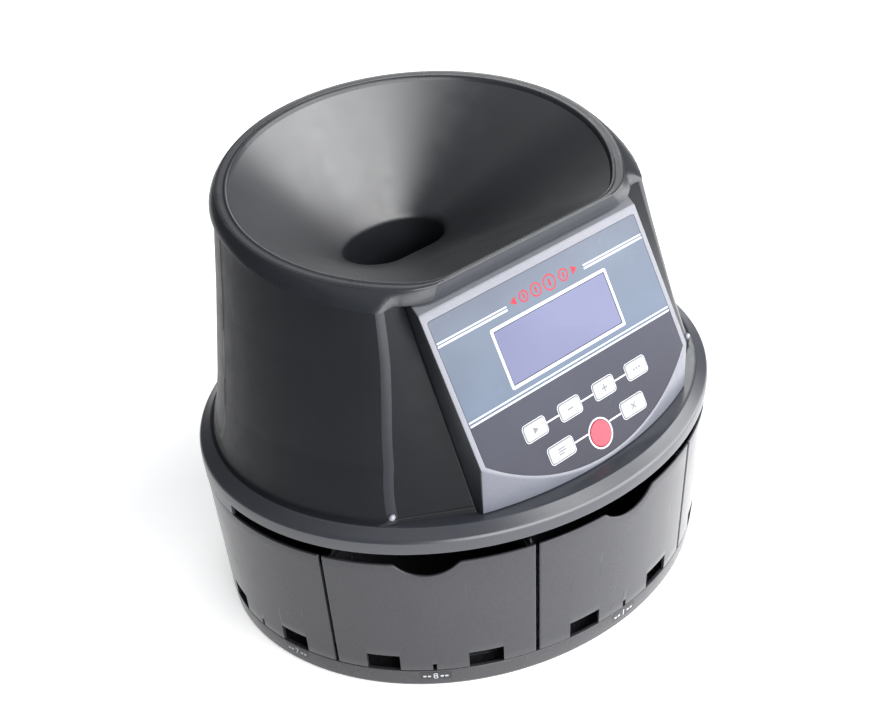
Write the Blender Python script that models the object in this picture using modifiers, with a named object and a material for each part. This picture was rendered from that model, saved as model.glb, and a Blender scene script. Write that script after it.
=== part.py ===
"""Electronic coin sorter: round table-top machine with eight pull-out coin drawers under an
upper housing that carries a D-shaped feed hopper, a sloping control console and the sorting deck.

Frame: +Z up, front of the machine is -Y, origin on the table under the middle of its outline.
Lengths below are millimetres and are turned into metres by mm(). They are worked out about the
spindle's axis, and the last lines move the whole machine back so that its outline is centred.
"""
import math

import bmesh
import bpy
from mathutils import Matrix, Vector

# ---------------------------------------------------------------- driving dimensions (mm)
OVAL = 0.88              # depth over width of the round shells in plan, front half
REAR_OVAL = 0.815        # the same for the flatter rear half
CONE_REAR = 0.83         # and for the rear of the upper cone
STEPS = 96               # facets round a turned shell

FOOT_R, FOOT_H = 9.0, 2.2
BASE_Z = 2.5             # underside of the base tray
RING_TOP = 14.1          # top of the base tray's outer ring
RING_R = 171.4
COLUMN_R, COLUMN_IN, COLUMN_TOP = 58.0, 55.0, 104.0

BAYS = 8
BAY_DEG = 360.0 / BAYS
DRAWER_Z0, DRAWER_TOP = 14.7, 103.7
DRAWER_R0, DRAWER_R1 = 172.3, 177.0     # outer wall at its foot and at its top
DRAWER_IN_R = 62.0
DRAWER_FLOOR = 28.4
DRAWER_WALL = 1.8
DRAWER_GAP = 1.2         # from a drawer's side to the middle of the slit beside it
WINDOW_A, WINDOW_B, WINDOW_TOP = 7.45, 14.9, 26.8
NOTCH_R, NOTCH_DEPTH = 26.7, 9.2

FLANGE_Z0 = 112.2
SHOULDER_Z = 126.0
CONE_Z0 = 127.0
CONE = ((127.0, 166.2), (140.0, 163.0), (160.0, 158.0), (180.0, 154.0), (200.0, 150.0), (220.0, 146.0),
        (240.0, 142.4), (258.0, 139.2), (300.0, 133.0))      # (height, radius) up the cone
LEAN = 0.115             # the cone's centre moves back by this much per mm of height
WALL = 2.6
REAR_AZ, REAR_STEP = 104.0, 0.7
SKIRT_AZ = 93.0          # the flange hangs lower behind this azimuth

RIM_Z, RIM_SLOPE = 265.2, 0.162          # the rim plane: z = RIM_Z + RIM_SLOPE * y
RIM_H = 7.0
RIM_YC, RIM_OVAL, RIM_REAR = 18.0, 0.855, 0.96
CHORD_Y = -70.8          # front straight edge of the hopper's mouth
THROAT_Z, THROAT_BOTTOM = 204.0, 136.0

ALCOVE_Y0, ALCOVE_SLOPE = -87.5, 0.207   # flat wall behind the console
NICHE_X = 89.8           # half width of the niche the console stands in
FACET_EDGE = (-116.4, 128.6, 0.4404)     # inner edge of the slanted facet either side: y, at height z, y per mm up
FACET_FOOT, FACET_TWIST = 0.65, 5.27e-5  # how far the facet runs back per mm outward at its foot, and how this lessens upwards

PANEL_DEG = 61.3         # slope of the console's face
PANEL_Y, PANEL_Z = -75.07, 243.6        # a point near that face's top edge
BLOCK_X = 89.4
BLOCK_TOP = 245.2
BLOCK_Y_SIDE, BLOCK_Y_MID = -121.6, -138.4

GEAR_TEETH, PINION_TEETH, GEAR_MODULE = 48, 12, 1.25
DISC_R = 71.5

POCKET_X, POCKET_Y = 52.0, 126.0        # rear recess: half width, and its floor
SWITCH_X, INLET_X, PORT_X, IO_Z = 34.0, -27.0, 10.0, 152.0


CENTRE_Y = 5.79          # the finished machine is moved back by this, to centre its outline


def mm(v):
    return v * 0.001


# ---------------------------------------------------------------- scene, collections, materials
for old in list(bpy.data.objects):
    bpy.data.objects.remove(old, do_unlink=True)

parts = bpy.data.collections.new("coin_sorter")
cutters = bpy.data.collections.new("cutters")
for c in (parts, cutters):
    bpy.context.scene.collection.children.link(c)


def material(name, rgb, rough, metal=0.0, alpha=1.0):
    m = bpy.data.materials.new(name)
    m.use_nodes = True
    b = m.node_tree.nodes["Principled BSDF"]
    b.inputs["Base Color"].default_value = (rgb[0], rgb[1], rgb[2], 1.0)
    b.inputs["Roughness"].default_value = rough
    b.inputs["Metallic"].default_value = metal
    b.inputs["Alpha"].default_value = alpha
    m.diffuse_color = (rgb[0], rgb[1], rgb[2], alpha)
    return m


def tinted(name, rgb, rough, metal=0.0, alpha=1.0):
    return material(name + "_mat", rgb, rough, metal, alpha)


BLACK = (0.028, 0.030, 0.034)
GLOSS_BLACK = (0.020, 0.021, 0.024)
WHITE = (0.82, 0.83, 0.85)


# ---------------------------------------------------------------- helpers
def link(name, bm, mat=None, where=None):
    bmesh.ops.recalc_face_normals(bm, faces=bm.faces)
    me = bpy.data.meshes.new(name)
    bm.to_mesh(me)
    bm.free()
    ob = bpy.data.objects.new(name, me)
    (where or parts).objects.link(ob)
    if mat:
        me.materials.append(mat)
    return ob


def evaluate(ob):
    """Puts the result of the modifiers into the mesh."""
    bpy.context.view_layer.update()
    dg = bpy.context.evaluated_depsgraph_get()
    me = bpy.data.meshes.new_from_object(ob.evaluated_get(dg))
    old = ob.data
    ob.modifiers.clear()
    ob.data = me
    bpy.data.meshes.remove(old)
    me.name = ob.name


def outward(ob):
    bm = bmesh.new()
    bm.from_mesh(ob.data)
    bmesh.ops.recalc_face_normals(bm, faces=bm.faces)
    bm.to_mesh(ob.data)
    bm.free()


def lathe(name, profile, steps=STEPS, mat=None, where=None, closed=True):
    """Turned body: profile of (radius, height), closed on itself or ending on the axis."""
    me = bpy.data.meshes.new(name)
    verts = [(mm(r), 0.0, mm(z)) for r, z in profile]
    edges = [(i, i + 1) for i in range(len(verts) - 1)]
    if closed:
        edges.append((len(verts) - 1, 0))
    me.from_pydata(verts, edges, [])
    ob = bpy.data.objects.new(name, me)
    (where or parts).objects.link(ob)
    s = ob.modifiers.new("Screw", "SCREW")
    s.axis = "Z"
    s.angle = math.tau
    s.steps = steps
    s.render_steps = steps
    s.use_merge_vertices = True
    s.merge_threshold = 0.00005
    evaluate(ob)
    outward(ob)
    if mat:
        ob.data.materials.clear()
        ob.data.materials.append(mat)
    return ob


def prism(name, outline, z0, z1, mat=None, where=None):
    """Straight body on a flat outline of (x, y)."""
    bm = bmesh.new()
    vs = [bm.verts.new((mm(x), mm(y), mm(z0))) for x, y in outline]
    f = bm.faces.new(vs)
    up = bmesh.ops.extrude_face_region(bm, geom=[f])
    moved = [g for g in up["geom"] if isinstance(g, bmesh.types.BMVert)]
    bmesh.ops.translate(bm, verts=moved, vec=(0, 0, mm(z1 - z0)))
    return link(name, bm, mat, where)


def loft(name, rings, mat=None, where=None, ring_closed=True, caps=False):
    """Skin between sections that hold the same number of points."""
    bm = bmesh.new()
    rows = [[bm.verts.new(tuple(mm(c) for c in p)) for p in ring] for ring in rings]
    n = len(rows[0])
    pairs = list(zip(rows[:-1], rows[1:]))
    if ring_closed:
        pairs.append((rows[-1], rows[0]))
    for a, b in pairs:
        for i in range(n):
            j = (i + 1) % n
            bm.faces.new((a[i], a[j], b[j], b[i]))
    if caps:
        bm.faces.new(rows[0])
        bm.faces.new(rows[-1])
    return link(name, bm, mat, where)


def box(name, x0, x1, y0, y1, z0, z1, mat=None, where=None, bevel=0.0, seg=2):
    bm = bmesh.new()
    bmesh.ops.create_cube(bm, size=1.0)
    bmesh.ops.scale(bm, vec=(mm(x1 - x0), mm(y1 - y0), mm(z1 - z0)), verts=bm.verts)
    bmesh.ops.translate(bm, vec=(mm((x0 + x1) / 2), mm((y0 + y1) / 2), mm((z0 + z1) / 2)), verts=bm.verts)
    if bevel:
        bmesh.ops.bevel(bm, geom=list(bm.edges), offset=mm(bevel), segments=seg, affect="EDGES", profile=0.5)
    return link(name, bm, mat, where)


def rod(name, r, z0, z1, x=0.0, y=0.0, seg=32, mat=None, where=None, r2=None):
    bm = bmesh.new()
    bmesh.ops.create_cone(bm, cap_ends=True, cap_tris=False, segments=seg,
                          radius1=mm(r), radius2=mm(r if r2 is None else r2), depth=mm(z1 - z0))
    bmesh.ops.translate(bm, vec=(mm(x), mm(y), mm((z0 + z1) / 2)), verts=bm.verts)
    return link(name, bm, mat, where)


def boolean(ob, other, how="DIFFERENCE"):
    other.hide_render = True
    other.display_type = "WIRE"
    m = ob.modifiers.new("cut", "BOOLEAN")
    m.operation = how
    m.solver = "EXACT"
    m.object = other
    evaluate(ob)
    bpy.data.objects.remove(other, do_unlink=True)


def joined(name, obs):
    """Several closed cutters as one cutter object."""
    bm = bmesh.new()
    for o in obs:
        bm.from_mesh(o.data)
    me = bpy.data.meshes.new(name)
    bm.to_mesh(me)
    bm.free()
    for o in obs:
        bpy.data.objects.remove(o, do_unlink=True)
    ob = bpy.data.objects.new(name, me)
    cutters.objects.link(ob)
    return ob


def oval(ob, k=OVAL, rear=REAR_OVAL):
    """Squeezes a round body front to back, the rear half a little more than the front."""
    for v in ob.data.vertices:
        v.co.y *= k if v.co.y < 0 else rear


def turn(ob, deg):
    ob.data.transform(Matrix.Rotation(math.radians(deg), 4, "Z"))


def lean(ob):
    """Moves the cone's centre back with height."""
    for v in ob.data.vertices:
        h = v.co.z - mm(CONE_Z0)
        if h > 0:
            v.co.y += LEAN * h


def slice_off(ob, co, no):
    """Removes what lies on the side the normal points to and closes the cut."""
    bm = bmesh.new()
    bm.from_mesh(ob.data)
    geom = list(bm.verts) + list(bm.edges) + list(bm.faces)
    bmesh.ops.bisect_plane(bm, geom=geom, dist=1e-7, plane_co=tuple(mm(c) for c in co), plane_no=no, clear_outer=True)
    edges = [e for e in bm.edges if e.is_boundary]
    bmesh.ops.holes_fill(bm, edges=edges, sides=0)
    bmesh.ops.recalc_face_normals(bm, faces=bm.faces)
    bm.to_mesh(ob.data)
    bm.free()


def origin_at(ob, x, y, z):
    p = Vector((mm(x), mm(y), mm(z)))
    ob.data.transform(Matrix.Translation(-p))
    ob.location = p


def finish(ob, mat, angle=32.0):
    ob.data.materials.clear()
    ob.data.materials.append(mat)
    for p in ob.data.polygons:
        p.material_index = 0
    bm = bmesh.new()
    bm.from_mesh(ob.data)
    bmesh.ops.dissolve_degenerate(bm, dist=2e-6, edges=bm.edges)
    bmesh.ops.recalc_face_normals(bm, faces=bm.faces)
    bm.to_mesh(ob.data)
    bm.free()
    ob.data.shade_smooth()
    ob.data.set_sharp_from_angle(angle=math.radians(angle))
    return ob


def sector(r_in, r_out, half, offset, n, k_in=4):
    """Plan outline of a wedge bay: arcs at r_in and r_out between two lines that run
    parallel to the radii at +-half degrees, moved in by offset. Front is -Y."""
    def limit(r):
        return math.radians(half) - math.asin(offset / r)
    pts = []
    a = limit(r_out)
    for i in range(n + 1):
        t = -a + 2 * a * i / n
        pts.append((r_out * math.sin(t), -r_out * math.cos(t)))
    a = limit(r_in)
    for i in range(k_in + 1):
        t = a - 2 * a * i / k_in
        pts.append((r_in * math.sin(t), -r_in * math.cos(t)))
    return pts


def rounded_rect(cx, cy, w, h, r, n=3):
    pts = []
    for qx, qy, a0 in ((1, 1, 0), (-1, 1, 90), (-1, -1, 180), (1, -1, 270)):
        ox, oy = cx + qx * (w / 2 - r), cy + qy * (h / 2 - r)
        for i in range(n + 1):
            a = math.radians(a0 + 90 * i / n)
            pts.append((ox + r * math.cos(a), oy + r * math.sin(a)))
    return pts


def circle(cx, cy, r, n=32):
    return [(cx + r * math.cos(math.tau * i / n), cy + r * math.sin(math.tau * i / n)) for i in range(n)]


# ---------------------------------------------------------------- base tray
def make_base():
    prof = [(0, BASE_Z), (166.0, BASE_Z), (166.0, 0.8), (170.6, 0.8), (RING_R, 2.2), (172.3, RING_TOP), (169.4, RING_TOP), (169.4, 5.5),
            (152, 5.5), (152, DRAWER_FLOOR - 0.4), (149.6, DRAWER_FLOOR - 0.4), (149.6, 5.5), (101.4, 5.5), (101.4, DRAWER_FLOOR - 0.4), (99, DRAWER_FLOOR - 0.4), (99, 5.5),
            (0, 5.5)]
    tray = lathe("base_tray", prof, steps=72, closed=False)
    oval(tray)
    finish(tray, tinted("base_tray", BLACK, 0.45))
    # hollow column in the middle, with a cable slot near its top
    col = lathe("centre_column", [(COLUMN_R, 5.8), (COLUMN_R, COLUMN_TOP), (COLUMN_IN, COLUMN_TOP), (COLUMN_IN, 5.8)], steps=72)
    boolean(col, box("slot", -8, 8, COLUMN_IN - 8, COLUMN_R + 6, 88, 96, where=cutters))
    oval(col)
    finish(col, tinted("centre_column", BLACK, 0.45))
    # upright walls between the drawers, standing on the tray's two ledges
    for i in range(BAYS):
        w = box("divider_%d" % (i + 1), -0.7, 0.7, -164, -COLUMN_R - 0.8, DRAWER_FLOOR - 0.1, 97.5)
        turn(w, BAY_DEG * (i + 0.5))
        oval(w)
        finish(w, tinted("divider_%d" % (i + 1), BLACK, 0.45))


# ---------------------------------------------------------------- coin drawers
def make_drawer(index):
    """Drawer index 1 is the front one; they count towards the machine's left side (+X)."""
    az = BAY_DEG * (index - 1)
    half = BAY_DEG / 2
    t = DRAWER_WALL
    n = 12

    def body(r_in0, r_in1, r0, r1, z0, z1, off, name):
        lo = [(x, y, z0) for x, y in sector(r_in0, r0, half, off, n)]
        hi = [(x, y, z1) for x, y in sector(r_in1, r1, half, off, n)]
        return loft(name, [lo, hi], where=cutters, ring_closed=False, caps=True)

    slope = (DRAWER_R1 - DRAWER_R0) / (DRAWER_TOP - DRAWER_Z0)
    ob = body(DRAWER_IN_R, DRAWER_IN_R, DRAWER_R0, DRAWER_R1, DRAWER_Z0, DRAWER_TOP, DRAWER_GAP, "drawer_%d" % index)
    cutters.objects.unlink(ob)
    parts.objects.link(ob)
    zc = DRAWER_FLOOR + 2.0
    cav = body(DRAWER_IN_R + t, DRAWER_IN_R + t, DRAWER_R0 + slope * (zc - DRAWER_Z0) - t,
               DRAWER_R1 + slope * 8 - t, zc, DRAWER_TOP + 8, DRAWER_GAP + t, "cavity")
    boolean(ob, cav)
    under = body(DRAWER_IN_R - 8, DRAWER_IN_R - 8, DRAWER_R0 - slope * 4 - t, DRAWER_R0 + slope * (DRAWER_FLOOR - DRAWER_Z0) - t,
                 DRAWER_Z0 - 4, DRAWER_FLOOR, -6.0, "under")
    boolean(ob, under)
    cuts = []
    for s in (-1, 1):
        a, b = WINDOW_A * s, WINDOW_B * s
        out = [(r * math.sin(math.radians(q)), -r * math.cos(math.radians(q)))
               for r, q in ((160, a), (182, a), (182, b), (160, b))]
        if s < 0:
            out.reverse()
        cuts.append(prism("win", out, DRAWER_Z0 - 5, WINDOW_TOP, where=cutters))
    cuts.append(box("tick", -1.3, 1.3, -182, -160, DRAWER_Z0 - 5, 19.8, where=cutters))
    if index in (1, 2, 8):
        c = rod("notch", NOTCH_R, -12, 12, seg=44, where=cutters)
        c.data.transform(Matrix.Rotation(math.radians(90), 4, "X"))
        c.data.transform(Matrix.Translation((0, mm(-172), mm(DRAWER_TOP - NOTCH_DEPTH + NOTCH_R))))
        cuts.append(c)
    boolean(ob, joined("drawer_cuts", cuts))
    turn(ob, az)
    oval(ob)
    a = math.radians(az)
    origin_at(ob, 120 * math.sin(a), -120 * OVAL * math.cos(a), DRAWER_FLOOR)
    return finish(ob, tinted("drawer_%d" % index, GLOSS_BLACK, 0.28))


# ---------------------------------------------------------------- upper housing
def cone_points(inset, top):
    """The cone's profile from the top down to just above its foot."""
    return [(CONE[-1][1] - inset, top)] + [(r - inset, z) for z, r in reversed(CONE[1:-1])]


def shell_oval(ob):
    """Plan shape of the housing: the flange follows the drawers, the cone is rounder at the rear."""
    for v in ob.data.vertices:
        if v.co.y < 0:
            v.co.y *= OVAL
        else:
            s = min(1.0, max(0.0, (v.co.z - mm(123.0)) / mm(5.0)))
            v.co.y *= REAR_OVAL + (CONE_REAR - REAR_OVAL) * s


def recess_rear(ob):
    """The rear part of the cone stands a little inside the front part."""
    for v in ob.data.vertices:
        r = math.hypot(v.co.x, v.co.y)
        if v.co.z > mm(CONE_Z0 + 1) and r > mm(60) and abs(math.degrees(math.atan2(v.co.x, -v.co.y))) > REAR_AZ:
            k = (r - mm(REAR_STEP)) / r
            v.co.x *= k
            v.co.y *= k


def facet_y(x, z):
    back = FACET_FOOT - FACET_TWIST * max(0.0, z - SHOULDER_Z) ** 2
    return FACET_EDGE[0] + FACET_EDGE[2] * (z - FACET_EDGE[1]) + back * (abs(x) - NICHE_X)


def alcove_cutter(name, back, z0):
    """Space in front of the cone from height z0 up: a niche for the console with a slanted
    facet on either side. back moves every face of it into the housing."""
    w = NICHE_X + back
    rings = []
    for z in (z0, 145.0, 162.0, 178.0, 194.0, 209.0, 223.0, 236.0, 250.0):
        mid = ALCOVE_Y0 + ALCOVE_SLOPE * (z - CONE_Z0) + back
        push = back * 1.25
        rings.append([(-220, -260, z), (220, -260, z), (220, facet_y(220, z) + push, z), (w, facet_y(w, z) + push, z),
                      (w, mid, z), (-w, mid, z), (-w, facet_y(w, z) + push, z), (-220, facet_y(220, z) + push, z)])
    return loft(name, rings, where=cutters, ring_closed=False, caps=True)


def make_housing():
    outer = [(0, 300)] + cone_points(0, 300) + [(165.9, 128.3), (167.3, 126.8), (171.0, 125.3), (174.6, 124.2), (177.0, 122.6),
             (178.0, 120.4), (178.2, 118.0), (177.9, FLANGE_Z0), (0, FLANGE_Z0)]
    inner = [(0, 320)] + cone_points(WALL + 1.0, 320) + [(162.3, 126.5), (163.2, 124.3), (170.3, 122.6), (174.2, 121.2),
             (175.3, 118.0), (175.3, FLANGE_Z0 - 5), (0, FLANGE_Z0 - 5)]
    o = lathe("upper_housing", outer, closed=False)
    recess_rear(o)
    shell_oval(o)
    lean(o)
    slice_off(o, (0, 0, RIM_Z - RIM_H - 0.3), Vector((0, -RIM_SLOPE, 1)).normalized())
    boolean(o, alcove_cutter("alcove", 0.0, SHOULDER_Z))
    i = lathe("hollow", inner, closed=False, where=cutters)
    shell_oval(i)
    lean(i)
    boolean(i, alcove_cutter("alcove_in", WALL, SHOULDER_Z - WALL + 0.3))
    boolean(i, box("pocket_block", -POCKET_X - 2.6, POCKET_X + 2.6, POCKET_Y - 2.6, 200, 129.4, 174.6, where=cutters))
    boolean(o, i)
    boolean(o, hopper_clearance())
    holes = [box("pocket", -POCKET_X, POCKET_X, POCKET_Y, 200, 132, 172, where=cutters),
             box("cable_way", -18, 18, -110, -50, 178, 196, where=cutters)]
    boolean(o, joined("housing_holes", holes))
    holes = [box("h1", SWITCH_X - 7.5, SWITCH_X + 7.5, POCKET_Y - 8, POCKET_Y + 8, IO_Z - 10.5, IO_Z + 10.5, where=cutters),
             box("h2", INLET_X - 14.5, INLET_X + 14.5, POCKET_Y - 8, POCKET_Y + 8, IO_Z - 10.5, IO_Z + 10.5, where=cutters),
             box("h3", PORT_X - 6.8, PORT_X + 6.8, POCKET_Y - 8, POCKET_Y + 8, IO_Z - 6.3, IO_Z + 6.3, where=cutters)]
    boolean(o, joined("io_holes", holes))
    # deeper skirt round the rear half
    arc = []
    n = 30
    for r, back in ((177.4, False), (175.5, True)):
        for q in range(n + 1):
            a = math.radians(SKIRT_AZ + (360.0 - 2 * SKIRT_AZ) * (q if not back else n - q) / n)
            arc.append((r * math.sin(a), -r * math.cos(a)))
    skirt = prism("skirt", arc, 104.5, FLANGE_Z0 + 2.0, where=cutters)
    oval(skirt)
    boolean(o, skirt, "UNION")
    return finish(o, tinted("upper_housing", BLACK, 0.42))


# ---------------------------------------------------------------- feed hopper
def d_ring(rx, ry, yc, chord, fillet, height, n_arc=44, n_chord=8, n_fil=4):
    """Closed D outline: an oval cut by a straight front edge, with rounded corners."""
    tc = math.acos((yc - chord) / ry)
    xc = rx * math.sin(tc)
    d = fillet / rx
    pts = []
    for i in range(n_chord + 1):
        x = -(xc - fillet) + 2 * (xc - fillet) * i / n_chord
        pts.append((x, chord))
    t0 = tc + d
    start = (rx * math.sin(t0), yc - ry * math.cos(t0))
    a, b, c = (xc - fillet, chord), (xc, chord), start
    for i in range(1, n_fil):
        s = i / n_fil
        pts.append(tuple((1 - s) ** 2 * a[k] + 2 * s * (1 - s) * b[k] + s * s * c[k] for k in (0, 1)))
    for i in range(n_arc + 1):
        t = t0 + (math.tau - 2 * t0) * i / n_arc
        pts.append((rx * math.sin(t), yc - ry * math.cos(t)))
    end = (-start[0], start[1])
    a, b, c = end, (-xc, chord), (-(xc - fillet), chord)
    for i in range(1, n_fil):
        s = i / n_fil
        pts.append(tuple((1 - s) ** 2 * a[k] + 2 * s * (1 - s) * b[k] + s * s * c[k] for k in (0, 1)))
    pts = [(x, y if y < yc else yc + (y - yc) * RIM_REAR) for x, y in pts]
    return [(x, y, height(x, y)) for x, y in pts]


def rim(drop):
    return lambda x, y: RIM_Z + RIM_SLOPE * y - drop


def flat(z):
    return lambda x, y: z


def hopper_clearance():
    """Room for the funnel inside the housing's top: 0.5 mm wider than the funnel's underside."""
    k = RIM_OVAL
    rings = [
        d_ring(TH_X + 2.9, TH_Y + 2.9, TH_YC, TH_CHORD - 2.7, 6, flat(THROAT_Z - 3.0)),
        d_ring(127.4, 127.4 * k, RIM_YC, CHORD_Y + 3.7, 14, rim(RIM_H + 0.4)),
        d_ring(127.4, 127.4 * k, RIM_YC, CHORD_Y + 3.7, 14, flat(330)),
    ]
    return loft("clearance", rings, where=cutters, ring_closed=False, caps=True)


TH_X, TH_Y, TH_YC, TH_CHORD = 41.0, 30.0, 56.0, 29.0


def make_hopper():
    k = RIM_OVAL
    rings = [
        d_ring(125.3, 125.3 * k, RIM_YC, CHORD_Y, 14, rim(0.6)),
        d_ring(126.4, 126.4 * k, RIM_YC, CHORD_Y - 0.9, 14, rim(0.0)),
        d_ring(133.4, 133.4 * k, RIM_YC, CHORD_Y - 3.2, 14, rim(0.0)),
        d_ring(136.0, 136.0 * k, RIM_YC, CHORD_Y - 4.3, 14, rim(2.0)),
        d_ring(138.3, 138.3 * k, RIM_YC, CHORD_Y - 4.8, 14, rim(RIM_H)),
        d_ring(126.8, 126.8 * k, RIM_YC, CHORD_Y + 4.3, 14, rim(RIM_H)),
        d_ring(TH_X + 2.4, TH_Y + 2.4, TH_YC, TH_CHORD - 2.2, 6, flat(THROAT_Z - 2.4)),
        d_ring(TH_X + 2.4, TH_Y + 2.4, TH_YC, TH_CHORD - 2.2, 6, flat(THROAT_BOTTOM)),
        d_ring(TH_X, TH_Y, TH_YC, TH_CHORD, 5, flat(THROAT_BOTTOM)),
        d_ring(TH_X, TH_Y, TH_YC, TH_CHORD, 5, flat(THROAT_Z)),
    ]
    h = loft("hopper_funnel", rings)
    return finish(h, tinted("hopper_funnel", BLACK, 0.35), 38)


# ---------------------------------------------------------------- console
def panel_matrix():
    """Local x across the face, local y up the slope, local z out of the face."""
    a = math.radians(PANEL_DEG)
    e = Vector((0, math.cos(a), math.sin(a)))
    n = Vector((0, -math.sin(a), math.cos(a)))
    m = Matrix.Identity(4)
    for i in range(3):
        m[i][0] = (1, 0, 0)[i]
        m[i][1] = e[i]
        m[i][2] = n[i]
    m[0][3], m[1][3], m[2][3] = 0.0, mm(PANEL_Y), mm(PANEL_Z)
    return m


PANEL = panel_matrix()


def on_panel(ob):
    ob.data.transform(PANEL)
    return ob


def block_outline(inset, rear):
    pts = [(BLOCK_X - inset, rear), (-(BLOCK_X - inset), rear)]
    half, sag = BLOCK_X, BLOCK_Y_SIDE - BLOCK_Y_MID
    r = (half * half + sag * sag) / (2 * sag)
    n = 16
    for i in range(n + 1):
        x = -(BLOCK_X - inset) + 2 * (BLOCK_X - inset) * i / n
        pts.append((x, BLOCK_Y_MID + r - math.sqrt(r * r - x * x) + inset))
    return pts


OVERLAY_X, OVERLAY_TOP, OVERLAY_SIDE, OVERLAY_LOW = 85.4, -8.3, -97.0, -129.9


def overlay_outline(grow):
    """Membrane outline: straight top and sides, arched lower edge."""
    sag = OVERLAY_SIDE - OVERLAY_LOW
    r = (OVERLAY_X ** 2 + sag ** 2) / (2 * sag)
    x_end = OVERLAY_X + grow
    pts = [(x_end, OVERLAY_TOP + grow), (-x_end, OVERLAY_TOP + grow)]
    n = 20
    for i in range(n + 1):
        x = -x_end + 2 * x_end * i / n
        pts.append((x, OVERLAY_LOW + r - math.sqrt(r * r - x * x) - grow))
    return pts


KEYS = [("key_start", -44.0, -93.5, 17.0, 9.8), ("key_minus", -15.0, -93.5, 17.0, 9.8),
        ("key_plus", 14.4, -93.5, 17.0, 9.8), ("key_set", 43.2, -93.5, 17.0, 9.8),
        ("key_report", -31.8, -112.8, 19.6, 9.8), ("key_stop", -0.3, -116.6, 16.4, 0.0),
        ("key_clear", 30.5, -112.8, 19.6, 9.8)]
LCD_U, LCD_V0, LCD_V1 = 46.0, -64.4, -31.4


def key_outline(k, grow):
    name, u, v, w, h = k
    if h == 0.0:
        return circle(u, v, w / 2 + grow, 32)
    return rounded_rect(u, v, w + 2 * grow, h + 2 * grow, 2.0 + grow)


def make_console():
    b = prism("console_frame", block_outline(0.0, -40), SHOULDER_Z + 0.3, 262)
    y_at = ALCOVE_Y0 - 0.35
    slice_off(b, (0, y_at, CONE_Z0), Vector((0, 1, -ALCOVE_SLOPE)).normalized())
    n = Vector((0, -math.sin(math.radians(PANEL_DEG)), math.cos(math.radians(PANEL_DEG))))
    slice_off(b, (0, PANEL_Y, PANEL_Z), n)
    slice_off(b, (0, 0, BLOCK_TOP), Vector((0, 0, 1)))
    bev = b.modifiers.new("Bevel", "BEVEL")
    bev.width = mm(1.6)
    bev.segments = 2
    bev.limit_method = "ANGLE"
    bev.angle_limit = math.radians(35)
    evaluate(b)
    cav = prism("cav", block_outline(2.6, -30), SHOULDER_Z + 2.9, 262, where=cutters)
    slice_off(cav, tuple(Vector((0, PANEL_Y, PANEL_Z)) - n * 3.2), n)
    boolean(b, cav)
    cuts = [on_panel(prism("recess", overlay_outline(0.3), -0.8, 4, where=cutters))]
    boolean(b, cuts[0])
    cuts = [on_panel(box("lcd_hole", -LCD_U - 1, LCD_U + 1, LCD_V0 - 1, LCD_V1 + 1, -8, 3, where=cutters))]
    for k in KEYS:
        cuts.append(on_panel(prism("kh", key_outline(k, 0.35), -7, 3, where=cutters)))
    boolean(b, joined("console_cuts", cuts))
    finish(b, tinted("console_frame", (0.06, 0.062, 0.068), 0.32))

    ov = on_panel(prism("membrane_overlay", overlay_outline(0.0), -0.5, 0.0))
    cuts = [on_panel(box("lcd_hole", -LCD_U - 0.3, LCD_U + 0.3, LCD_V0 - 0.3, LCD_V1 + 0.3, -3, 3, where=cutters))]
    for k in KEYS:
        cuts.append(on_panel(prism("kh", key_outline(k, 0.35), -3, 3, where=cutters)))
    boolean(ov, joined("overlay_cuts", cuts))
    finish(ov, tinted("membrane_overlay", (0.05, 0.06, 0.075), 0.08))

    win = on_panel(box("lcd_window", -LCD_U, LCD_U, LCD_V0, LCD_V1, -2.8, -0.05))
    finish(win, tinted("lcd_window", (0.33, 0.34, 0.62), 0.10))
    mod = on_panel(box("lcd_module", -49, 49, -70, -26.5, -12, -3.6, bevel=0.6, seg=1))
    finish(mod, tinted("lcd_module", (0.08, 0.16, 0.10), 0.5))
    for k in KEYS:
        cap = on_panel(prism(k[0], key_outline(k, 0.0), -4.2, 0.5))
        c = PANEL @ Vector((mm(k[1]), mm(k[2]), mm(-2.0)))
        origin_at(cap, c.x * 1000, c.y * 1000, c.z * 1000)
        red = k[0] == "key_stop"
        finish(cap, tinted(k[0], (0.78, 0.07, 0.10) if red else WHITE, 0.35))
    mat = on_panel(box("key_mat", -54, 54, -122, -85, -6.6, -5.1, bevel=0.3, seg=1))
    finish(mat, tinted("key_mat", (0.45, 0.45, 0.47), 0.7))
    pcb = on_panel(box("control_board", -66, 66, -121, -84, -9.6, -8.0))
    finish(pcb, tinted("control_board", (0.02, 0.16, 0.06), 0.45))
    # flat ribbon from the display module down to the control board
    outline, back = [], []
    steps = 12
    for i in range(steps + 1):
        s = i / steps
        v = -63.0 - 26.0 * s
        w = -12.4 + 2.5 * s - 7.0 * math.sin(math.pi * s)
        outline.append((v, w))
        back.append((v, w - 0.8))
    outline += back[::-1]
    bm = bmesh.new()
    vs = [bm.verts.new((mm(-14), mm(v), mm(w))) for v, w in outline]
    f = bm.faces.new(vs)
    up = bmesh.ops.extrude_face_region(bm, geom=[f])
    bmesh.ops.translate(bm, verts=[g for g in up["geom"] if isinstance(g, bmesh.types.BMVert)], vec=(mm(28), 0, 0))
    rib = on_panel(link("ribbon_cable", bm))
    finish(rib, tinted("ribbon_cable", (0.5, 0.5, 0.52), 0.5))


# ---------------------------------------------------------------- sorting deck and drive
def bay_windows(r_in, r_out, half, z0, z1):
    cuts = []
    for i in range(BAYS):
        w = prism("bw", sector(r_in, r_out, half, 0.5, 3, 2), z0, z1, where=cutters)
        turn(w, BAY_DEG * i)
        cuts.append(w)
    return joined("bay_windows", cuts)


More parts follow.
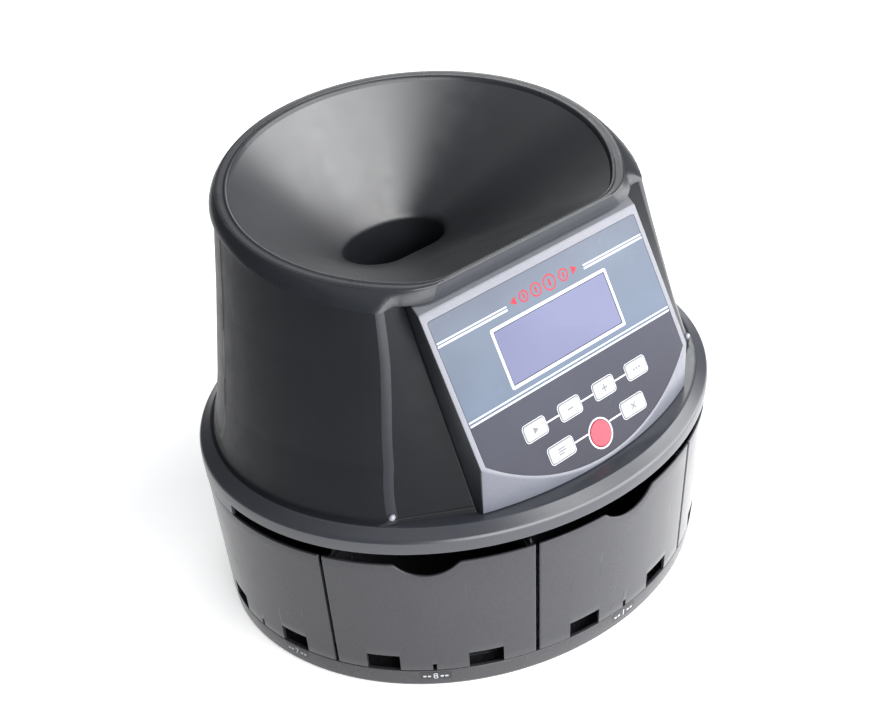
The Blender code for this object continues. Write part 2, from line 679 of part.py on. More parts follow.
def gear(name, teeth, module, z0, z1, bore, phase=0.0):
    """Spur gear: straight-flanked teeth, narrow at the tip, with a little backlash."""
    rp = module * teeth / 2
    ra, rf = rp + module * 0.95, rp - module * 1.2
    pitch = math.tau / teeth
    half_p = pitch / 4 - 0.17 / rp
    half_a = half_p * 0.48
    half_f = half_p * 1.42
    pts = []
    for i in range(teeth):
        c = pitch * i + phase
        for r, a in ((rf, -half_f), (ra, -half_a), (ra, half_a), (rf, half_f)):
            pts.append((r * math.cos(c + a), r * math.sin(c + a)))
    g = prism(name, pts, z0, z1)
    if bore:
        boolean(g, rod("bore", bore, z0 - 2, z1 + 2, seg=24, where=cutters))
    return g


def make_mechanism():
    steel = (0.55, 0.56, 0.58)
    deck = lathe("deck_plate", [(0, 104.3), (166, 104.3), (166, 106.5), (0, 106.5)], steps=60, closed=False)
    oval(deck)
    boolean(deck, rod("centre", 9.3, 100, 110, seg=32, where=cutters))
    boolean(deck, bay_windows(76, 104, 17, 100, 110))
    sx = [(48.9, 23.0), (-48.9, 23.0), (0, -49.7)]
    boolean(deck, joined("sh", [rod("s", 1.9, 100, 110, x, y, 12, where=cutters) for x, y in sx]))
    finish(deck, tinted("deck_plate", (0.05, 0.05, 0.055), 0.5))
    for i, (x, y) in enumerate(sx):
        s = rod("deck_screw_%d" % (i + 1), 1.6, 104.3, 107.2, x, y, 12)
        boolean(s, rod("head", 3.4, 106.8, 109.0, x, y, 16, where=cutters, r2=2.6), "UNION")
        finish(s, tinted("deck_screw_%d" % (i + 1), steel, 0.3, 1.0))
    chute = lathe("chute_ring", [(70, 106.8), (108, 106.8), (108, 111.7), (70, 111.7)], steps=48)
    boolean(chute, bay_windows(76, 104, 17, 104, 114))
    finish(chute, tinted("chute_ring", (0.06, 0.06, 0.065), 0.5))
    plate = lathe("sorting_plate", [(72.2, 112.0), (108, 112.0), (108, 114), (72.2, 114)], steps=48)
    slots = []
    for i in range(BAYS):
        w = 15.0 + 2.0 * i
        s = prism("slot", rounded_rect(0, -92, w, 20.0, 3.0, 1), 108, 118, where=cutters)
        turn(s, BAY_DEG * i)
        slots.append(s)
    boolean(plate, joined("slots", slots))
    finish(plate, tinted("sorting_plate", steel, 0.28, 1.0))
    fence = lathe("fence_ring", [(108.4, 106.8), (111.5, 106.8), (111.5, 122), (108.4, 122)], steps=48)
    finish(fence, tinted("fence_ring", steel, 0.3, 1.0))
    sens = lathe("sensor_ring", [(112, 106.8), (123, 106.8), (123, 108.4), (112, 108.4)], steps=48)
    bumps = []
    for i in range(BAYS):
        b = box("bump", -5, 5, -122, -113, 108.0, 114.5, where=cutters)
        turn(b, BAY_DEG * i + 12)
        bumps.append(b)
    boolean(sens, joined("bumps", bumps), "UNION")
    finish(sens, tinted("sensor_ring", (0.02, 0.13, 0.06), 0.5))

    disc = lathe("coin_disc", [(0, 127.5), (8, 126.0), (20, 119.0), (26, 115.0), (DISC_R, 115.0), (DISC_R, 112.2),
                               (4.3, 112.2), (4.3, 121.5), (0, 121.5)], steps=48, closed=False)
    ribs = []
    for i in range(4):
        r = box("rib", -1.6, 1.6, 24, 64, 114.0, 117.0, where=cutters)
        turn(r, 90.0 * i + 20)
        ribs.append(r)
    boolean(disc, joined("ribs", ribs), "UNION")
    origin_at(disc, 0, 0, 112.2)
    finish(disc, tinted("coin_disc", (0.32, 0.33, 0.35), 0.35, 0.9))

    sp = rod("spindle", 4.0, 70, 121.0, seg=32)
    origin_at(sp, 0, 0, 95)
    finish(sp, tinted("spindle", steel, 0.25, 1.0))
    for name, z0, z1 in (("upper_bearing", 104.3, 108.0), ("lower_bearing", 78.0, 84.0)):
        b = lathe(name, [(4.3, z0), (9.0, z0), (9.0, z1), (4.3, z1)], steps=32)
        finish(b, tinted(name, (0.55, 0.42, 0.2), 0.35, 1.0))
    br = lathe("motor_bracket", [(0, 78), (54.4, 78), (54.4, 83), (0, 83)], steps=40, closed=False)
    oval(br)
    cd = GEAR_MODULE * (GEAR_TEETH + PINION_TEETH) / 2
    boolean(br, joined("bh", [rod("b1", 9.3, 74, 88, seg=32, where=cutters), rod("b2", 6.4, 74, 88, cd, 0, 24, where=cutters),
                              box("b3", -34, -22, -12, 12, 74, 88, where=cutters)]))
    finish(br, tinted("motor_bracket", (0.45, 0.46, 0.48), 0.4, 1.0))
    g = gear("disc_gear", GEAR_TEETH, GEAR_MODULE, 86.0, 92.0, 4.3)
    origin_at(g, 0, 0, 89)
    finish(g, tinted("disc_gear", (0.75, 0.74, 0.70), 0.45))
    p = gear("motor_pinion", PINION_TEETH, GEAR_MODULE, 86.0, 92.5, 0, math.tau / PINION_TEETH / 2)
    p.data.transform(Matrix.Translation((mm(cd), 0, 0)))
    boolean(p, rod("stub", 2.0, 82.6, 88.0, cd, 0, 20, where=cutters), "UNION")
    origin_at(p, cd, 0, 89)
    finish(p, tinted("motor_pinion", (0.62, 0.5, 0.25), 0.35, 1.0))
    mo = lathe("drive_motor", [(0, 36), (14.0, 36), (15.5, 37.5), (15.5, 76.2), (14.0, 77.7), (6.0, 77.7), (6.0, 82.2), (0, 82.2)],
               steps=32, closed=False)
    mo.data.transform(Matrix.Translation((mm(cd), 0, 0)))
    finish(mo, tinted("drive_motor", (0.5, 0.51, 0.53), 0.3, 1.0))


# ---------------------------------------------------------------- power and rear connections
def make_power():
    w = POCKET_Y
    pb = box("power_board", -48, 48, 92.6, 94.2, 128, 182)
    finish(pb, tinted("power_board", (0.03, 0.12, 0.05), 0.5))
    tr = box("transformer", 50, 80, 68.0, 91.6, 132, 166, bevel=1.0, seg=1)
    finish(tr, tinted("transformer", (0.12, 0.10, 0.05), 0.5))
    z = IO_Z
    inl = box("power_inlet", INLET_X - 14.2, INLET_X + 14.2, w - 20, w + 0.6, z - 10.2, z + 10.2)
    boolean(inl, box("fl", INLET_X - 17, INLET_X + 17, w + 0.3, w + 2.5, z - 13, z + 13, where=cutters), "UNION")
    boolean(inl, box("soc", INLET_X - 11, INLET_X + 11, w - 15, w + 11, z - 7.5, z + 7.5, where=cutters))
    pins = [box("p", INLET_X + dx - 1.1, INLET_X + dx + 1.1, w - 17, w - 2, z + dz - 2, z + dz + 2, where=cutters)
            for dx, dz in ((-7, -1.5), (0, 3.0), (7, -1.5))]
    boolean(inl, joined("pins", pins), "UNION")
    finish(inl, tinted("power_inlet", (0.03, 0.03, 0.032), 0.4))
    port = box("data_port", PORT_X - 6.5, PORT_X + 6.5, w - 17, w + 1.2, z - 6.0, z + 6.0)
    boolean(port, box("pc", PORT_X - 5, PORT_X + 5, w - 12, w + 11, z - 4.4, z + 4.4, where=cutters))
    finish(port, tinted("data_port", (0.45, 0.46, 0.48), 0.35, 0.9))
    fr = box("switch_frame", SWITCH_X - 7.2, SWITCH_X + 7.2, w - 15, w + 0.6, z - 10.2, z + 10.2)
    boolean(fr, box("fl", SWITCH_X - 9.5, SWITCH_X + 9.5, w + 0.3, w + 2.0, z - 12.5, z + 12.5, where=cutters), "UNION")
    boolean(fr, box("fc", SWITCH_X - 5.4, SWITCH_X + 5.4, w - 12, w + 11, z - 8.6, z + 8.6, where=cutters))
    finish(fr, tinted("switch_frame", (0.025, 0.025, 0.028), 0.4))
    rk = box("power_rocker", SWITCH_X - 4.9, SWITCH_X + 4.9, w - 8.5, w + 3.0, z - 6.9, z + 6.9)
    # shallow hollow across the rocker's face
    v = rod("v", 30, -12, 12, seg=64, where=cutters)
    v.data.transform(Matrix.Rotation(math.radians(90), 4, "Y"))
    v.data.transform(Matrix.Translation((mm(SWITCH_X), mm(w + 3 + 28.9), mm(z))))
    boolean(rk, v)
    axis = Vector((mm(SWITCH_X), mm(w - 5), mm(z)))
    rk.data.transform(Matrix.Translation(axis) @ Matrix.Rotation(math.radians(-8), 4, "X") @ Matrix.Translation(-axis))
    origin_at(rk, SWITCH_X, w - 5, z)
    finish(rk, tinted("power_rocker", (0.5, 0.03, 0.03), 0.35))


def make_feet():
    for i in range(4):
        a = math.radians(45 + 90 * i)
        f = rod("rubber_foot_%d" % (i + 1), FOOT_R, 0, FOOT_H, 135 * math.cos(a), 120 * math.sin(a), 24)
        finish(f, tinted("rubber_foot_%d" % (i + 1), (0.04, 0.04, 0.04), 0.8))


make_base()
for d in range(1, BAYS + 1):
    make_drawer(d)
make_housing()
make_hopper()
make_console()
make_mechanism()
make_power()
make_feet()
for piece in parts.objects:
    piece.location.y += mm(CENTRE_Y)
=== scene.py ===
import math

import bmesh
import bpy
from mathutils import Matrix, Vector


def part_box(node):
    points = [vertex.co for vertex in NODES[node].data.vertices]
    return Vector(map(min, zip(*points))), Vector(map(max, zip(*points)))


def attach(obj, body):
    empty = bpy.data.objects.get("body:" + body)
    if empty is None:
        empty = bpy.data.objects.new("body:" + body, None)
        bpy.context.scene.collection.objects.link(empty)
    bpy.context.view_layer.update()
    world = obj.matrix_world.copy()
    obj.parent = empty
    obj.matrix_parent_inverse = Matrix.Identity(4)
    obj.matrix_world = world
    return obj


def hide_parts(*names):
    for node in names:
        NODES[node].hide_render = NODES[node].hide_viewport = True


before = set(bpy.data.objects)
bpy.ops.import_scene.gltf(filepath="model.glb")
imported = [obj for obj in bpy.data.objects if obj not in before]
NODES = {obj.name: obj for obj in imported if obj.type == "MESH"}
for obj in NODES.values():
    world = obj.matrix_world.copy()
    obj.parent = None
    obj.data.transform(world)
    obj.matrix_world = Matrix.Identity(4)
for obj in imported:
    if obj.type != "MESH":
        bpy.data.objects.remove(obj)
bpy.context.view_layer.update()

SHIFT = 5.79             # mm: the spindle's axis lies this far behind the frame's origin
sin, cos, rad = math.sin, math.cos, math.radians


def P(x, y, z):
    """Millimetres about the spindle's axis to metres in the frame."""
    return (x * 0.001, (y + SHIFT) * 0.001, z * 0.001)


# ------------------------------------------------------------------ camera
def make_camera():
    U = 0.1711
    f, el, roll, alpha = 1436.4508, rad(33.27), rad(-3.94), rad(39.95)
    D, tx, ty = 5.9538 * U, -0.1157 * U, 0.6831 * U
    back, right = Vector((0, -cos(el), sin(el))), Vector((1, 0, 0))
    up = back.cross(right)
    c, s = cos(roll), sin(roll)
    r, u = c * right + s * up, -s * right + c * up
    Rz = Matrix.Rotation(-alpha, 3, "Z")
    loc = Rz @ (back * D + r * tx + u * ty) + Vector((0, SHIFT * 0.001, 0))
    R, Uu, B = Rz @ r, Rz @ u, Rz @ back
    cd = bpy.data.cameras.new("camera")
    co = bpy.data.objects.new("camera", cd)
    bpy.context.scene.collection.objects.link(co)
    co.matrix_world = Matrix(((R.x, Uu.x, B.x, loc.x), (R.y, Uu.y, B.y, loc.y), (R.z, Uu.z, B.z, loc.z), (0, 0, 0, 1)))
    cd.sensor_fit, cd.sensor_width = "HORIZONTAL", 36.0
    cd.lens = f / 869 * 36.0
    cd.clip_start, cd.clip_end = 0.05, 50
    bpy.context.scene.camera = co


make_camera()


# ------------------------------------------------------------------ dimensions (mm)
OVAL, REAR_OVAL, CONE_REAR = 0.88, 0.815, 0.83
CONE = ((126.0, 169.0), (126.4, 167.6), (127.0, 166.7), (128.4, 165.9), (140.0, 163.0), (160.0, 158.0), (180.0, 154.0), (200.0, 150.0),
        (220.0, 146.0), (240.0, 142.4), (258.0, 139.2), (300.0, 133.0))
LEAN = 0.115
NICHE_X = 89.8
PANEL_DEG, PANEL_Y, PANEL_Z = 61.3, -75.07, 243.6
RIM_Z, RIM_SLOPE, RIM_YC, RIM_OVAL, RIM_REAR = 265.2, 0.162, 18.0, 0.855, 0.96
CHORD_Y = -70.8
SHOULDER_Z = 126.0
POCKET_X, POCKET_Y = 52.0, 126.0


def lerp_table(tab, z):
    for (z0, r0), (z1, r1) in zip(tab[:-1], tab[1:]):
        if z <= z1:
            return r0 + (r1 - r0) * max(0.0, (z - z0)) / (z1 - z0)
    return tab[-1][1]


def smooth(t):
    t = min(1.0, max(0.0, t))
    return t * t * (3 - 2 * t)


# ------------------------------------------------------------------ materials
def principled(name):
    m = bpy.data.materials.new(name)
    m.use_nodes = True
    return m, m.node_tree, m.node_tree.nodes["Principled BSDF"]


def coords(nt):
    tc = nt.nodes.new("ShaderNodeTexCoord")
    return tc.outputs["Object"]


def noise(nt, vec, scale, detail=3.0, rough=0.5):
    n = nt.nodes.new("ShaderNodeTexNoise")
    n.inputs["Scale"].default_value = scale
    n.inputs["Detail"].default_value = detail
    n.inputs["Roughness"].default_value = rough
    nt.links.new(vec, n.inputs["Vector"])
    return n.outputs["Fac"]


def ramp(nt, fac, stops, interp="LINEAR"):
    r = nt.nodes.new("ShaderNodeValToRGB")
    r.color_ramp.interpolation = interp
    el = r.color_ramp.elements
    while len(el) > len(stops):
        el.remove(el[-1])
    while len(el) < len(stops):
        el.new(0.5)
    for e, (p, c) in zip(el, stops):
        e.position = p
        e.color = (c[0], c[1], c[2], 1.0)
    nt.links.new(fac, r.inputs["Fac"])
    return r.outputs["Color"]


def grey(v):
    return (v, v, v)


def scaled(c, k):
    return tuple(min(1.0, v * k) for v in c)


def plastic(name, rgb, rough, grain=1400.0, bump=0.10, spread=0.10, rough_spread=0.05, coat=0.0, metal=0.0, blotch=35.0,
            spec=0.5, coat_rough=0.08, edge=0.0):
    """Moulded plastic or metal: slow colour variation, roughness variation, fine grain, and optional lighter sharp
    edges as a painted highlight.
    """
    m, nt, b = principled(name)
    v = coords(nt)
    slow = noise(nt, v, blotch, 4.0, 0.6)
    col = ramp(nt, slow, [(0.28, scaled(rgb, 1 - spread)), (0.72, scaled(rgb, 1 + spread))])
    fine = noise(nt, v, grain * 0.6, 2.0, 0.6)
    speck = ramp(nt, fine, [(0.25, grey(0.90)), (0.75, grey(1.10))])
    mul = nt.nodes.new("ShaderNodeMix")
    mul.data_type, mul.blend_type = "RGBA", "MULTIPLY"
    mul.inputs[0].default_value = 1.0
    nt.links.new(col, mul.inputs[6])
    nt.links.new(speck, mul.inputs[7])
    out = mul.outputs[2]
    # edge: sharp convex edges turn lighter by pointiness, a painted highlight
    if edge:
        g = nt.nodes.new("ShaderNodeNewGeometry")
        e = ramp(nt, g.outputs["Pointiness"], [(0.505, grey(0.0)), (0.56, grey(edge))])
        mix = nt.nodes.new("ShaderNodeMix")
        mix.data_type = "RGBA"
        nt.links.new(e, mix.inputs[0])
        nt.links.new(out, mix.inputs[6])
        mix.inputs[7].default_value = (*scaled(rgb, 3.2), 1.0)
        out = mix.outputs[2]
    nt.links.new(out, b.inputs["Base Color"])
    rn = noise(nt, v, blotch * 2.3, 5.0, 0.65)
    rr = ramp(nt, rn, [(0.3, grey(max(0.02, rough - rough_spread))), (0.7, grey(min(1.0, rough + rough_spread)))])
    nt.links.new(rr, b.inputs["Roughness"])
    b.inputs["Metallic"].default_value = metal
    b.inputs["Specular IOR Level"].default_value = spec
    if coat:
        b.inputs["Coat Weight"].default_value = coat
        b.inputs["Coat Roughness"].default_value = coat_rough
    if bump:
        bp = nt.nodes.new("ShaderNodeBump")
        bp.inputs["Strength"].default_value = bump
        bp.inputs["Distance"].default_value = 0.0002
        nt.links.new(noise(nt, v, grain, 3.0, 0.7), bp.inputs["Height"])
        nt.links.new(bp.outputs["Normal"], b.inputs["Normal"])
    return m


def brushed(name, rgb, rough, direction=(1, 60, 60), metal=1.0):
    """Rolled or turned metal: long fine streaks in colour, roughness and bump."""
    m, nt, b = principled(name)
    v = coords(nt)
    mp = nt.nodes.new("ShaderNodeMapping")
    mp.inputs["Scale"].default_value = direction
    nt.links.new(v, mp.inputs["Vector"])
    st = noise(nt, mp.outputs["Vector"], 22.0, 6.0, 0.7)
    nt.links.new(ramp(nt, st, [(0.3, scaled(rgb, 0.8)), (0.7, scaled(rgb, 1.15))]), b.inputs["Base Color"])
    nt.links.new(ramp(nt, st, [(0.3, grey(rough * 0.75)), (0.7, grey(min(1, rough * 1.3)))]), b.inputs["Roughness"])
    b.inputs["Metallic"].default_value = metal
    bp = nt.nodes.new("ShaderNodeBump")
    bp.inputs["Strength"].default_value = 0.12
    bp.inputs["Distance"].default_value = 0.0001
    nt.links.new(st, bp.inputs["Height"])
    nt.links.new(bp.outputs["Normal"], b.inputs["Normal"])
    return m


def board(name):
    """Circuit board: green mask with lighter track lines and copper pads."""
    m, nt, b = principled(name)
    v = coords(nt)
    br = nt.nodes.new("ShaderNodeTexBrick")
    br.inputs["Scale"].default_value = 160.0
    br.inputs["Color1"].default_value = (0.012, 0.085, 0.035, 1)
    br.inputs["Color2"].default_value = (0.016, 0.11, 0.045, 1)
    br.inputs["Mortar"].default_value = (0.05, 0.20, 0.07, 1)
    br.inputs["Mortar Size"].default_value = 0.03
    nt.links.new(v, br.inputs["Vector"])
    vo = nt.nodes.new("ShaderNodeTexVoronoi")
    vo.inputs["Scale"].default_value = 210.0
    nt.links.new(v, vo.inputs["Vector"])
    pad = ramp(nt, vo.outputs["Distance"], [(0.12, grey(1.0)), (0.17, grey(0.0))])
    mix = nt.nodes.new("ShaderNodeMix")
    mix.data_type = "RGBA"
    nt.links.new(pad, mix.inputs[0])
    nt.links.new(br.outputs["Color"], mix.inputs[6])
    mix.inputs[7].default_value = (0.55, 0.50, 0.38, 1)
    nt.links.new(mix.outputs[2], b.inputs["Base Color"])
    nt.links.new(ramp(nt, noise(nt, v, 90), [(0.3, grey(0.30)), (0.7, grey(0.45))]), b.inputs["Roughness"])
    return m


BODY = (0.0060, 0.0068, 0.0092)
M = {}
M["body"] = plastic("housing_abs", BODY, 0.42, grain=1500, bump=0.16, spread=0.10, spec=0.19)
# facet and crease: darker and lighter copies of the housing plastic, painted shade on the facets and a painted
# highlight on the crease strips
M["facet"] = plastic("housing_facet_painted_shade", (0.0050, 0.0056, 0.0074), 0.34, grain=1500, bump=0.14, spread=0.10, spec=0.09)
M["crease"] = plastic("housing_crease_painted_highlight", (0.019, 0.021, 0.026), 0.36, grain=1500, bump=0.16, spread=0.10, spec=0.21)
# seam: near-black strip material, a painted shadow at the foot of each facet
M["seam"] = plastic("facet_foot_painted_shadow", (0.004, 0.004, 0.006), 0.6, grain=1500, bump=0.05, spread=0.15)
# stop: light bead material, a painted highlight at the foot of each crease
M["stop"] = plastic("crease_foot_painted_highlight", (0.20, 0.205, 0.24), 0.28, grain=1500, bump=0.03, spread=0.08)
# flange: lighter than the housing body, with lighter sharp edges, a painted highlight
M["flange"] = plastic("flange_painted_highlight", (0.0225, 0.0245, 0.0315), 0.30, grain=1500, bump=0.02, spread=0.06, rough_spread=0.02, spec=0.74, edge=0.3)
M["rim"] = plastic("rim_abs", (0.0135, 0.015, 0.0185), 0.30, grain=1500, bump=0.05, spread=0.08, spec=0.42)
# rim_side, rim_front and rim_edge: copies of the rim plastic, painted shade on the outer side and painted highlights at
# the front chord
M["rim_side"] = plastic("rim_side_painted_shade", (0.012, 0.0135, 0.017), 0.30, grain=1500, bump=0.05, spread=0.08, spec=0.36)
M["rim_front"] = plastic("rim_front_painted_highlight", (0.0165, 0.0185, 0.0240), 0.32, grain=1500, bump=0.02, spread=0.06, rough_spread=0.02, spec=0.17)
M["rim_edge"] = plastic("rim_edge_painted_highlight", (0.046, 0.049, 0.058), 0.30, grain=1500, bump=0.02, spread=0.06, rough_spread=0.02, spec=0.4)
M["funnel"] = plastic("funnel_abs", (0.0085, 0.0095, 0.0125), 0.38, grain=1700, bump=0.03, spread=0.10, rough_spread=0.03, spec=0.95)
M["drawer"] = plastic("bin_abs", (0.029, 0.0294, 0.034), 0.22, grain=900, bump=0.012, spread=0.06, rough_spread=0.035, blotch=18, spec=0.40)
M["ring"] = plastic("ring_abs", (0.030, 0.030, 0.034), 0.26, grain=1100, bump=0.03, spread=0.08)
M["label"] = plastic("label_black", (0.010, 0.010, 0.013), 0.35, grain=1800, bump=0.02, spread=0.1)
M["console"] = plastic("console_abs", (0.014, 0.0155, 0.019), 0.32, grain=1500, bump=0.05, spread=0.08, spec=0.4)
# chamfer: lighter copy of the console plastic, a painted highlight on the top chamfer
M["chamfer"] = plastic("console_chamfer_painted_highlight", (0.040, 0.044, 0.053), 0.34, grain=1500, bump=0.05, spread=0.07, spec=0.4)
M["bezel"] = plastic("bezel_satin", (0.112, 0.115, 0.138), 0.34, grain=1500, bump=0.03, spread=0.05)
# front_wall: lighter copy of the console plastic, a painted reflection of the floor on the front wall
M["front_wall"] = plastic("console_front_painted_reflection", (0.098, 0.103, 0.125), 0.32, grain=1500, bump=0.05, spread=0.07)
M["key"] = plastic("key_white", (0.27, 0.282, 0.29), 0.42, grain=2200, bump=0.04, spread=0.02, blotch=120, spec=0.3)
M["key_red"] = plastic("key_red", (0.31, 0.036, 0.058), 0.36, grain=2200, bump=0.04, spread=0.05, blotch=120, spec=0.25)
M["print_white"] = plastic("ink_white", (0.42, 0.435, 0.46), 0.42, grain=2500, bump=0.02, spread=0.03, blotch=150, spec=0.25)
M["print_grey"] = plastic("ink_grey", (0.105, 0.108, 0.118), 0.45, grain=2500, bump=0.02, spread=0.05, blotch=150, spec=0.25)
M["print_red"] = plastic("ink_red", (0.30, 0.010, 0.022), 0.45, grain=2500, bump=0.02, spread=0.06, blotch=150, spec=0.2)
M["rubber"] = plastic("foot_rubber", (0.022, 0.022, 0.023), 0.75, grain=1000, bump=0.25, spread=0.12)
M["inner"] = plastic("inner_plastic", (0.016, 0.0165, 0.019), 0.48, grain=900, bump=0.10, spread=0.12)
M["silicone"] = plastic("key_mat_silicone", (0.35, 0.35, 0.37), 0.62, grain=800, bump=0.08, spread=0.06)
M["cable"] = brushed("flat_cable", (0.45, 0.45, 0.47), 0.5, (400, 1, 1), 0.0)
M["steel"] = brushed("brushed_steel", (0.56, 0.57, 0.60), 0.28)
M["zinc"] = brushed("plated_zinc", (0.48, 0.49, 0.52), 0.36, (30, 1, 8))
M["bronze"] = plastic("sintered_bronze", (0.52, 0.38, 0.18), 0.38, grain=1600, bump=0.15, spread=0.12, metal=1.0)
M["acetal"] = plastic("gear_acetal", (0.72, 0.71, 0.67), 0.42, grain=900, bump=0.05, spread=0.04)
M["board"] = board("circuit_board")
M["coil"] = brushed("laminations", (0.13, 0.11, 0.07), 0.45, (1, 1, 500), 0.6)
M["rocker"] = plastic("rocker_red", (0.42, 0.022, 0.028), 0.22, grain=1500, bump=0.02, spread=0.06, coat=0.3)
M["socket"] = plastic("socket_plastic", (0.018, 0.018, 0.020), 0.42, grain=1300, bump=0.12, spread=0.10)


def overlay_material():
    """Printed film: blue-grey upper field and a darker key field below."""
    m, nt, b = principled("overlay_film")
    uv = nt.nodes.new("ShaderNodeUVMap")
    uv.uv_map = "face"
    sep = nt.nodes.new("ShaderNodeSeparateXYZ")
    nt.links.new(uv.outputs["UV"], sep.inputs["Vector"])
    # v runs 0 at the bottom of the film to 1 at its top, u runs 0 to 1 across
    base = ramp(nt, sep.outputs["Y"], [(0.0, (0.026, 0.0265, 0.036)), (0.470, (0.033, 0.0345, 0.048)), (0.480, (0.078, 0.099, 0.136)),
                                       (0.85, (0.090, 0.108, 0.142)), (1.0, (0.088, 0.100, 0.128))])
    v = coords(nt)
    mottle = ramp(nt, noise(nt, v, 22.0, 3.0, 0.5), [(0.3, grey(0.92)), (0.7, grey(1.08))])
    mul = nt.nodes.new("ShaderNodeMix")
    mul.data_type, mul.blend_type = "RGBA", "MULTIPLY"
    mul.inputs[0].default_value = 1.0
    nt.links.new(base, mul.inputs[6])
    nt.links.new(mottle, mul.inputs[7])
    nt.links.new(mul.outputs[2], b.inputs["Base Color"])
    nt.links.new(ramp(nt, noise(nt, v, 40.0), [(0.3, grey(0.20)), (0.7, grey(0.28))]), b.inputs["Roughness"])
    b.inputs["Specular IOR Level"].default_value = 0.10
    bp = nt.nodes.new("ShaderNodeBump")
    bp.inputs["Strength"].default_value = 0.05
    bp.inputs["Distance"].default_value = 0.0004
    nt.links.new(noise(nt, v, 60.0, 2.0), bp.inputs["Height"])
    nt.links.new(bp.outputs["Normal"], b.inputs["Normal"])
    return m


def lcd_material():
    m, nt, b = principled("lcd_glass")
    v = coords(nt)
    nt.links.new(ramp(nt, noise(nt, v, 14.0, 2.0), [(0.3, (0.098, 0.102, 0.170)), (0.7, (0.110, 0.115, 0.188))]), b.inputs["Base Color"])
    br = nt.nodes.new("ShaderNodeTexBrick")
    br.inputs["Scale"].default_value = 900.0
    br.inputs["Color1"].default_value = (1, 1, 1, 1)
    br.inputs["Color2"].default_value = (0.9, 0.9, 0.9, 1)
    br.inputs["Mortar"].default_value = (0, 0, 0, 1)
    nt.links.new(v, br.inputs["Vector"])
    bp = nt.nodes.new("ShaderNodeBump")
    bp.inputs["Strength"].default_value = 0.03
    bp.inputs["Distance"].default_value = 0.0001
    nt.links.new(br.outputs["Color"], bp.inputs["Height"])
    nt.links.new(bp.outputs["Normal"], b.inputs["Normal"])
    nt.links.new(ramp(nt, noise(nt, v, 50.0), [(0.3, grey(0.12)), (0.7, grey(0.2))]), b.inputs["Roughness"])
    b.inputs["Specular IOR Level"].default_value = 0.12
    return m


M["overlay"] = overlay_material()
M["lcd"] = lcd_material()


# ------------------------------------------------------------------ mesh helpers
def new_object(name, me, mats, body="chassis"):
    ob = bpy.data.objects.new(name, me)
    bpy.context.scene.collection.objects.link(ob)
    for m in (mats if isinstance(mats, (list, tuple)) else [mats]):
        me.materials.append(m)
    if body:
        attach(ob, body)
    return ob


def shade(me, angle=35.0):
    me.shade_smooth()
    me.set_sharp_from_angle(angle=rad(angle))


def sharp_between(me):
    """Edges where two materials meet stay crisp."""
    seen = {}
    for p in me.polygons:
        for k in p.edge_keys:
            seen.setdefault(k, set()).add(p.material_index)
    at = me.attributes.get("sharp_edge") or me.attributes.new("sharp_edge", "BOOLEAN", "EDGE")
    for e in me.edges:
        if len(seen.get(e.key, ())) > 1:
            at.data[e.index].value = True


def from_bm(name, bm, mats, body="chassis", angle=35.0):
    bmesh.ops.recalc_face_normals(bm, faces=bm.faces)
    me = bpy.data.meshes.new(name)
    bm.to_mesh(me)
    bm.free()
    ob = new_object(name, me, mats, body)
    shade(me, angle)
    return ob


def skin(bm, rows, closed_u=True, closed_v=False, mat=None):
    """Quads between rows of points (mm). Returns the rows of vertices."""
    vr = [[bm.verts.new(P(*p)) for p in row] for row in rows]
    n = len(vr[0])
    pairs = list(zip(vr[:-1], vr[1:]))
    if closed_v:
        pairs.append((vr[-1], vr[0]))
    for a, b in pairs:
        for i in range(n if closed_u else n - 1):
            j = (i + 1) % n
            try:
                f = bm.faces.new((a[i], a[j], b[j], b[i]))
                if mat is not None:
                    f.material_index = mat
            except ValueError:
                pass
    return vr


def cap(bm, ring):
    try:
        bm.faces.new(ring)
    except ValueError:
        pass


def rounded(pts, radius, n=5):
    """A closed plan outline with each corner rounded by about radius."""
    out = []
    k = len(pts)
    for i in range(k):
        a, b, c = Vector(pts[i - 1]), Vector(pts[i]), Vector(pts[(i + 1) % k])
        ra = min(radius, (a - b).length * 0.45)
        rc = min(radius, (c - b).length * 0.45)
        p, q = b + (a - b).normalized() * ra, b + (c - b).normalized() * rc
        for j in range(n + 1):
            t = j / n
            out.append(tuple((1 - t) ** 2 * p + 2 * t * (1 - t) * b + t * t * q))
    return out


def lathe_rows(profile, steps, place):
    """Rows of a turned body: place maps (radius, azimuth, z) to a point."""
    return [[place(r, math.tau * i / steps, z) for i in range(steps)] for r, z in profile]


def soften(profile, r=0.5, n=3):
    """Rounds the corners of an open profile."""
    out = [profile[0]]
    for a, b, c in zip(profile[:-2], profile[1:-1], profile[2:]):
        a, b, c = Vector(a), Vector(b), Vector(c)
        ra, rc = min(r, (a - b).length * 0.45), min(r, (c - b).length * 0.45)
        p, q = b + (a - b).normalized() * ra, b + (c - b).normalized() * rc
        for j in range(n + 1):
            t = j / n
            out.append(tuple((1 - t) ** 2 * p + 2 * t * (1 - t) * b + t * t * q))
    out.append(profile[-1])
    return out


def shell_point(r, a, z):
    """Front is azimuth 0, at -Y. The housing's plan: flatter behind, and the cone leans back."""
    x, y = r * sin(a), -r * cos(a)
    if y < 0:
        y *= OVAL
    else:
        y *= REAR_OVAL + (CONE_REAR - REAR_OVAL) * min(1.0, max(0.0, (z - 123.0) / 5.0))
    return (x, y + LEAN * max(0.0, z - 127.0), z)


def oval_point(r, a, z):
    x, y = r * sin(a), -r * cos(a)
    return (x, y * (OVAL if y < 0 else REAR_OVAL), z)


